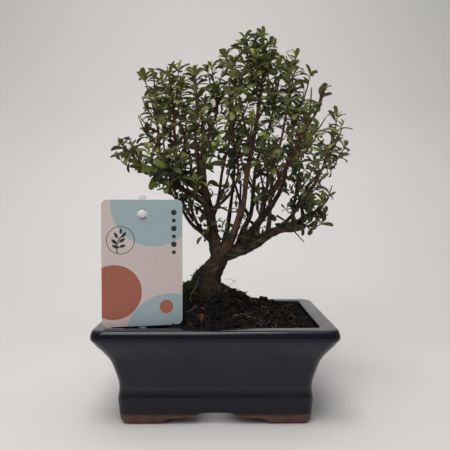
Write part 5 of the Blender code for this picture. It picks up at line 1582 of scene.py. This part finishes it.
def grow_sprouts(foliage):
    """Sprigs of old leaves round the fork of the trunk, in the darkest tone, as painted shade deep in the crown."""
    dice = foliage.dice
    foliage.shown_share = 0.0
    rows, stems = [], []
    for place in SPROUTS:
        place = np.array(place, float)
        near = foliage.wood[np.argmin(norm(foliage.wood[:, :3] - place, axis=1) - foliage.wood[:, 3])]
        side = unit(place - near[:3])
        foot = near[:3] + side * near[3] * 0.5
        axis = unit(side + np.array((dice.uniform(-0.4, 0.4), 0, 0.35)))
        foliage.sprig(rows, stems, place, axis, dice.choice((2, 3)), dice.uniform(0.55, 0.7),
                      dice.uniform(0.0, 0.12), len(foliage.taken), [(*foot, 0.6), (*place, 0.3)])
    foliage.shown_share = SHOWN_SHARE
    return rows, stems


def shoot_route(name, share, tip):
    """Centre points of a leafy shoot's stem from inside its limb up to its tip."""
    route = tree_route(name, 1.0)
    i = min(int(share * (len(route) - 1)), len(route) - 2)
    direction = unit(route[i + 1, :3] - route[i, :3])
    seat = route[-1, :3] - direction * 2.0 if share == 1.0 else route[i, :3]
    tip = np.array(tip, float) + TREE_FOOT
    outward = tip - seat
    start = direction if share == 1.0 else unit(outward - direction * np.dot(outward, direction) * 0.6)
    length = norm(outward)
    first = seat + start * length * 0.3
    second = tip - unit(unit(outward) + 0.8 * UP) * length * 0.35
    steps = max(8, int(length / 1.5))
    thick = min(route[i, 3], 0.95)
    rows = []
    for k in range(steps + 1):
        t = k / steps
        place = seat * (1 - t) ** 3 + first * 3 * t * (1 - t) ** 2 + second * 3 * t * t * (1 - t) + tip * t ** 3
        rows.append((*place, thick + (0.38 - thick) * t))
    return even_route(rows, 1.0)


def grow_shoot(foliage, limb, share, tip, spacing):
    """Leaves in a spiral up a shoot, with small side rosettes low down and a tuft at the tip."""
    dice = foliage.dice
    route = shoot_route(limb, share, tip)
    directions, across, other = frames_along(route[:, :3])
    rows, stems = [], [route]
    total = len(route) - 1.0
    turn = dice.uniform(0, 2 * pi)
    place = total * SHOOT_LEAVES_FROM
    own = len(foliage.taken)
    while place < total - 1.5:
        i = int(place)
        along = place / total
        turn += GOLDEN_TURN + dice.uniform(-0.25, 0.25)
        side = across[i] * cos(turn) + other[i] * sin(turn)
        root = route[i, :3] + side * route[i, 3] * 0.5
        tone = painted_light_at(root) + 0.32 * along ** 2 + dice.uniform(-0.12, 0.12)
        length = foliage.length * dice.uniform(0.78, 1.25) * (1.0 - 0.2 * along)
        axis = unit(directions[i] + 0.15 * UP)
        foliage.set_leaf(rows, root, axis, turn, 66 - 30 * along, length, tone, max(own - 40, 0))
        if along < 0.5 and dice.random() < SIDE_ROSETTE_SHARE:
            bud = route[i, :3] - side * route[i, 3] * 0.5
            foliage.rosette(rows, bud - side * 0.8, unit(directions[i] * 0.7 - side), dice.choice((3, 3, 4)), 0.6,
                            tone - 0.05, max(len(foliage.taken) - 12, 0))
        place += spacing * dice.uniform(0.8, 1.25)
    end = route[-1, :3]
    foliage.rosette(rows, end - directions[-1] * 0.8, directions[-1], 6, 0.82, painted_height_light(end[2]) + 0.34,
                    max(len(foliage.taken) - 10, 0), (56, 10))
    return rows, stems


def build_foliage(sizes, colours):
    """The leafy shoots of the solids, then those beyond them, then the leaves on the limbs' spurs."""
    foliage = Foliage(sizes)
    finishes = [leaf_finish(colours, False), leaf_finish(colours, True), stem_finish(colours)]
    spacing = sizes.shoot_leaf_spacing / MM
    number = 0
    for limb, shoots in SHOOTS.items():
        for share, *tip in shoots:
            number += 1
            rows, stems = grow_shoot(foliage, limb, share, tip, spacing)
            leafy_piece(f"leafy_shoot_{number:02d}", rows, stems, finishes, [f"shoot_{number:02d}"])
    for limb, shoots in sorted(CROWN_SHOOTS.items()):
        rows, stems = [], []
        for share, *tip in shoots:
            more, more_stems = grow_shoot(foliage, limb, share, tip, spacing)
            rows += more
            stems += more_stems
        leafy_piece(f"crown_shoots_{limb}", rows, stems, finishes)
    for name in WOOD:
        if name in LEAFLESS:
            continue
        rows, stems = grow_spurs(foliage, name, sizes.spur_spacing / MM)
        if rows:
            leafy_piece(f"spur_leaves_{name}", rows, stems, finishes)
    leafy_piece("fork_sprigs", *grow_sprouts(foliage), finishes)


def leaf_finish(colours, is_under):
    """Leathery leaf: dull olive above with a paler midrib and margin, grey-green below."""
    name = "leaf_underside" if is_under else "leaf_upper_face"
    f = Finish(name, {"IOR": 1.45, "Specular IOR Level": 0.28, "Sheen Weight": 0.12 if is_under else 0.0})
    tone, chance, across, along = (f.named(n) for n in ("tone", "chance", "across", "along"))
    # the tone mixes the leaf's age with painted light: shaded leaves inside and low, lit ones at the top and outside
    varied = f.plus(tone, f.step(chance, 0.0, 1.0, (-0.22, 0.20)))
    shaded_old_to_grown = f.step(varied, 0.05, 0.5)
    grown_to_sunlit_young = f.step(varied, 0.5, 1.0)
    colour = f.mix(shaded_old_to_grown, colours.leaf_old_and_shaded, colours.leaf_grown)
    colour = f.mix(grown_to_sunlit_young, colour, colours.leaf_young_and_sunlit)
    if is_under:
        colour = f.mix(0.55, colour, colours.leaf_under)
    else:    # faces that look straight up are made a darker, deeper green: painted shade against the overhead light
        upward = f.part(2, f.node("ShaderNodeNewGeometry").outputs["Normal"])
        colour = f.mix(f.step(upward, 0.58, 0.97), colour, (0.47, 0.52, 0.44), "MULTIPLY")
    mottle = f.grain(1.6, 3, shift=4.0)
    colour = f.mix(f.step(mottle, 0.35, 0.75, (0.0, 0.35)), colour, colours.leaf_grown, "MULTIPLY")
    midrib = f.times(f.step(across, 0.16, 0.02), f.step(along, 1.0, 0.6, (0.35, 1.0)))
    pale = f.step(tone, 0.0, 0.6, (0.12, 0.45))
    colour = f.mix(f.times(midrib, pale), colour, colours.leaf_young_and_sunlit)
    margin = f.times(f.step(across, 0.88, 1.0, (0.0, 0.8)), pale)
    colour = f.mix(margin, colour, colours.leaf_young_and_sunlit)
    browned = f.times(f.step(chance, 0.955, 0.99), f.step(along, 0.55, 1.0))
    colour = f.mix(browned, colour, (0.10, 0.045, 0.022))
    veins = f.math("SINE", f.plus(f.times(along, 58.0), f.times(across, -9.0)))
    relief = f.plus(f.times(veins, 0.25), mottle)
    rough = f.step(mottle, 0.3, 0.7, (0.62, 0.8) if is_under else (0.40, 0.56))
    return f.finish(colour, rough, f.bump(relief, 0.09))


def stem_finish(colours):
    """Thin young bark: red-brown low down, green at the tip."""
    f = Finish("young_stem", {"IOR": 1.45, "Specular IOR Level": 0.35})
    grain = f.grain(0.8, 3)
    young = shaded(colours.bark_red, 0.9)
    colour = f.mix(f.step(f.grain(6.0, 2, shift=3.0), 0.35, 0.65), young, shaded(colours.bark_brown, 0.85))
    colour = f.mix(f.step(f.named("tone"), 0.45, 0.9), colour, shaded(colours.leaf_grown, 0.9))
    colour = f.mix(f.step(grain, 0.4, 0.75, (0.0, 0.6)), colour, colours.bark_dark_and_shade)
    return f.finish(colour, f.rough(grain, 0.5, 0.75), f.bump(grain, 0.1))


# Stage

SWEEP = (5.0, -6.0, 0.55, 0.35, 1.5)    # half width, front, back, radius of the bend and top, in metres
CAMERA_PLACE = (POT_MIDDLE.x + 0.0043, -0.3816, 0.1472)
CAMERA_DOWN, CAMERA_RIGHT = 1.73, 0.35    # degrees
PHOTO_WIDTH, FOCAL_LENGTH = 450.0, 498.5  # in the photograph's pixels
SENSOR_WIDTH = 36.0
LAMP_COLOUR = (1.0, 0.985, 0.97)
LAMPS = (                 # name, power, size across and along, place, aim
    ("overhead_softbox", 7.3, 0.6, 0.45, (-0.12, -0.42, 1.10), (0.0, 0.0, 0.10)),
    ("front_fill", 3.9, 0.8, 0.35, (-0.34, -1.0, 1.0), (0.0, 0.0, 0.15)),
    ("back_wash", 1.5, 0.6, 0.4, (0.0, 0.08, 0.75), (0.03, 0.55, 0.12)),
    ("light_under_pot", 0.0016, 0.020, 0.084, (POT_MIDDLE.x, 0.0, 0.0080), (POT_MIDDLE.x, 0.0, 0.0)),
)


def build_stage():
    """A pale sweep, soft studio light and the camera at the photograph's place."""
    half_width, front, back, bend, top = SWEEP
    profile = [(front, 0.0), (back - bend, 0.0)]
    profile += [(back - bend + bend * sin(a), bend - bend * cos(a))
                for a in (radians(90) * i / 16 for i in range(1, 17))]
    profile.append((back, top))
    points = [(x / MM, y / MM, z / MM) for y, z in profile for x in (-half_width, half_width)]
    faces = [[2 * i, 2 * i + 1, 2 * i + 3, 2 * i + 2] for i in range(len(profile) - 1)]
    sweep = loose_object("pale_sweep", mesh_from("pale_sweep", points, faces))
    sweep.data.shade_smooth()
    f = Finish("pale_paper", {"Specular IOR Level": 0.25})
    tone = f.mix(f.grain(160, 2), (0.66, 0.645, 0.635), (0.70, 0.685, 0.675))
    # darker towards the top of the sweep: painted shade where the lamps' light falls off
    tone = f.mix(f.step(f.part(2), 180.0, 620.0, (0.0, 0.85)), tone, (0.45, 0.443, 0.435))
    sweep.data.materials.append(f.finish(tone, f.rough(f.grain(0.8, 3), 0.55, 0.75),
                                         f.bump(f.grain(0.7, 3, shift=2.0), 0.03)))
    for name, power, across, along, place, aim in LAMPS:
        light = bpy.data.lights.new(name, "AREA")
        light.shape, light.size, light.size_y, light.energy = "RECTANGLE", across, along, power
        light.color = LAMP_COLOUR
        lamp = loose_object(name, light)
        lamp.location = place
        lamp.rotation_euler = (Vector(aim) - Vector(place)).to_track_quat("-Z", "Y").to_euler()
    world = bpy.data.worlds.new("soft_room")
    world.use_nodes = True
    tree = world.node_tree
    sky = tree.nodes["Background"]
    direction = tree.nodes.new("ShaderNodeSeparateXYZ")
    tree.links.new(tree.nodes.new("ShaderNodeTexCoord").outputs["Generated"], direction.inputs[0])
    level = tree.nodes.new("ShaderNodeMapRange")    # a darkish room with a bright ceiling
    tree.links.new(direction.outputs["Z"], level.inputs["Value"])
    for socket, value in (("From Min", 0.12), ("From Max", 0.80), ("To Min", 0.20), ("To Max", 0.30)):
        level.inputs[socket].default_value = value
    tree.links.new(level.outputs["Result"], sky.inputs["Strength"])
    sky.inputs["Color"].default_value = (0.90, 0.91, 0.94, 1.0)
    bpy.context.scene.world = world
    camera = loose_object("camera", bpy.data.cameras.new("camera"))
    camera.location = CAMERA_PLACE
    camera.rotation_euler = (radians(90 - CAMERA_DOWN), 0.0, radians(-CAMERA_RIGHT))
    camera.data.sensor_width = SENSOR_WIDTH
    camera.data.lens = SENSOR_WIDTH * FOCAL_LENGTH / PHOTO_WIDTH
    bpy.context.scene.camera = camera
    bpy.context.scene.view_settings.view_transform = "Standard"


# Operators, panel and start

class BONSAI_OT_stage(bpy.types.Operator):
    """Lay the pale sweep and set the lights and the camera"""

    bl_idname = "bonsai.stage"
    bl_label = "Stage"

    def execute(self, context):
        build_stage()
        return {"FINISHED"}


class BONSAI_OT_pot(bpy.types.Operator):
    """Make the glazed pot and finish the drain screens"""

    bl_idname = "bonsai.pot"
    bl_label = "Glazed pot"

    def execute(self, context):
        build_pot(context.scene.bonsai_sizes, context.scene.bonsai_colours)
        finish_drain_screens(context.scene.bonsai_colours)
        return {"FINISHED"}


class BONSAI_OT_wood(bpy.types.Operator):
    """Carve the trunk and its roots, and grow the limbs and twigs"""

    bl_idname = "bonsai.wood"
    bl_label = "Trunk and limbs"

    def execute(self, context):
        sizes, colours = context.scene.bonsai_sizes, context.scene.bonsai_colours
        bark = bark_finish(colours)
        build_heartwood(sizes, bark)
        build_limbs(bark)
        build_twigs(bark)
        return {"FINISHED"}


class BONSAI_OT_soil(bpy.types.Operator):
    """Fill the pot with soil, crumbs, root fibres and fallen leaves"""

    bl_idname = "bonsai.soil"
    bl_label = "Soil"

    def execute(self, context):
        sizes, colours = context.scene.bonsai_sizes, context.scene.bonsai_colours
        finish = soil_finish(colours)
        build_soil(finish)
        build_crumbs(sizes, finish)
        build_fibres(sizes, colours)
        build_fallen_leaves()
        return {"FINISHED"}


class BONSAI_OT_moss(bpy.types.Operator):
    """Set moss on the root flare and the soil beside it"""

    bl_idname = "bonsai.moss"
    bl_label = "Moss"

    def execute(self, context):
        objects = context.scene.objects
        build_moss(context.scene.bonsai_colours, (objects["carved_wood"], objects["potting_soil"]))
        return {"FINISHED"}


class BONSAI_OT_foliage(bpy.types.Operator):
    """Grow the leafy shoots and the leaves on the spurs"""

    bl_idname = "bonsai.foliage"
    bl_label = "Leafy shoots and spurs"

    def execute(self, context):
        build_foliage(context.scene.bonsai_sizes, context.scene.bonsai_colours)
        return {"FINISHED"}


class BONSAI_OT_label(bpy.types.Operator):
    """Make the plant label and the stake that it hangs on"""

    bl_idname = "bonsai.label"
    bl_label = "Plant label"

    def execute(self, context):
        build_label_card(context.scene.bonsai_colours)
        build_label_stake(context.scene.bonsai_colours)
        return {"FINISHED"}


STEPS = (BONSAI_OT_stage, BONSAI_OT_pot, BONSAI_OT_wood, BONSAI_OT_soil, BONSAI_OT_moss, BONSAI_OT_foliage,
         BONSAI_OT_label)


class BONSAI_PT_panel(bpy.types.Panel):
    """Lists the sizes, the colours and the pieces"""

    bl_idname = "BONSAI_PT_panel"
    bl_label = "Cotoneaster Bonsai"
    bl_space_type = "VIEW_3D"
    bl_region_type = "UI"
    bl_category = "Bonsai"

    def draw(self, context):
        for group in (context.scene.bonsai_sizes, context.scene.bonsai_colours):
            column = self.layout.column()
            for name in group.bl_rna.properties.keys():
                if name not in ("rna_type", "name"):
                    column.prop(group, name)
        for step in STEPS:
            self.layout.operator(step.bl_idname)


CLASSES = (BonsaiSizes, BonsaiColours, *STEPS, BONSAI_PT_panel)


def register():
    for cls in CLASSES:
        bpy.utils.register_class(cls)
    bpy.types.Scene.bonsai_sizes = bpy.props.PointerProperty(type=BonsaiSizes)
    bpy.types.Scene.bonsai_colours = bpy.props.PointerProperty(type=BonsaiColours)


def unregister():
    del bpy.types.Scene.bonsai_colours
    del bpy.types.Scene.bonsai_sizes
    for cls in reversed(CLASSES):
        bpy.utils.unregister_class(cls)


def main():
    register()
    for step in STEPS:
        family, name = step.bl_idname.split(".")
        getattr(getattr(bpy.ops, family), name)()
    bpy.context.view_layer.update()


if __name__ == "__main__":
    main()
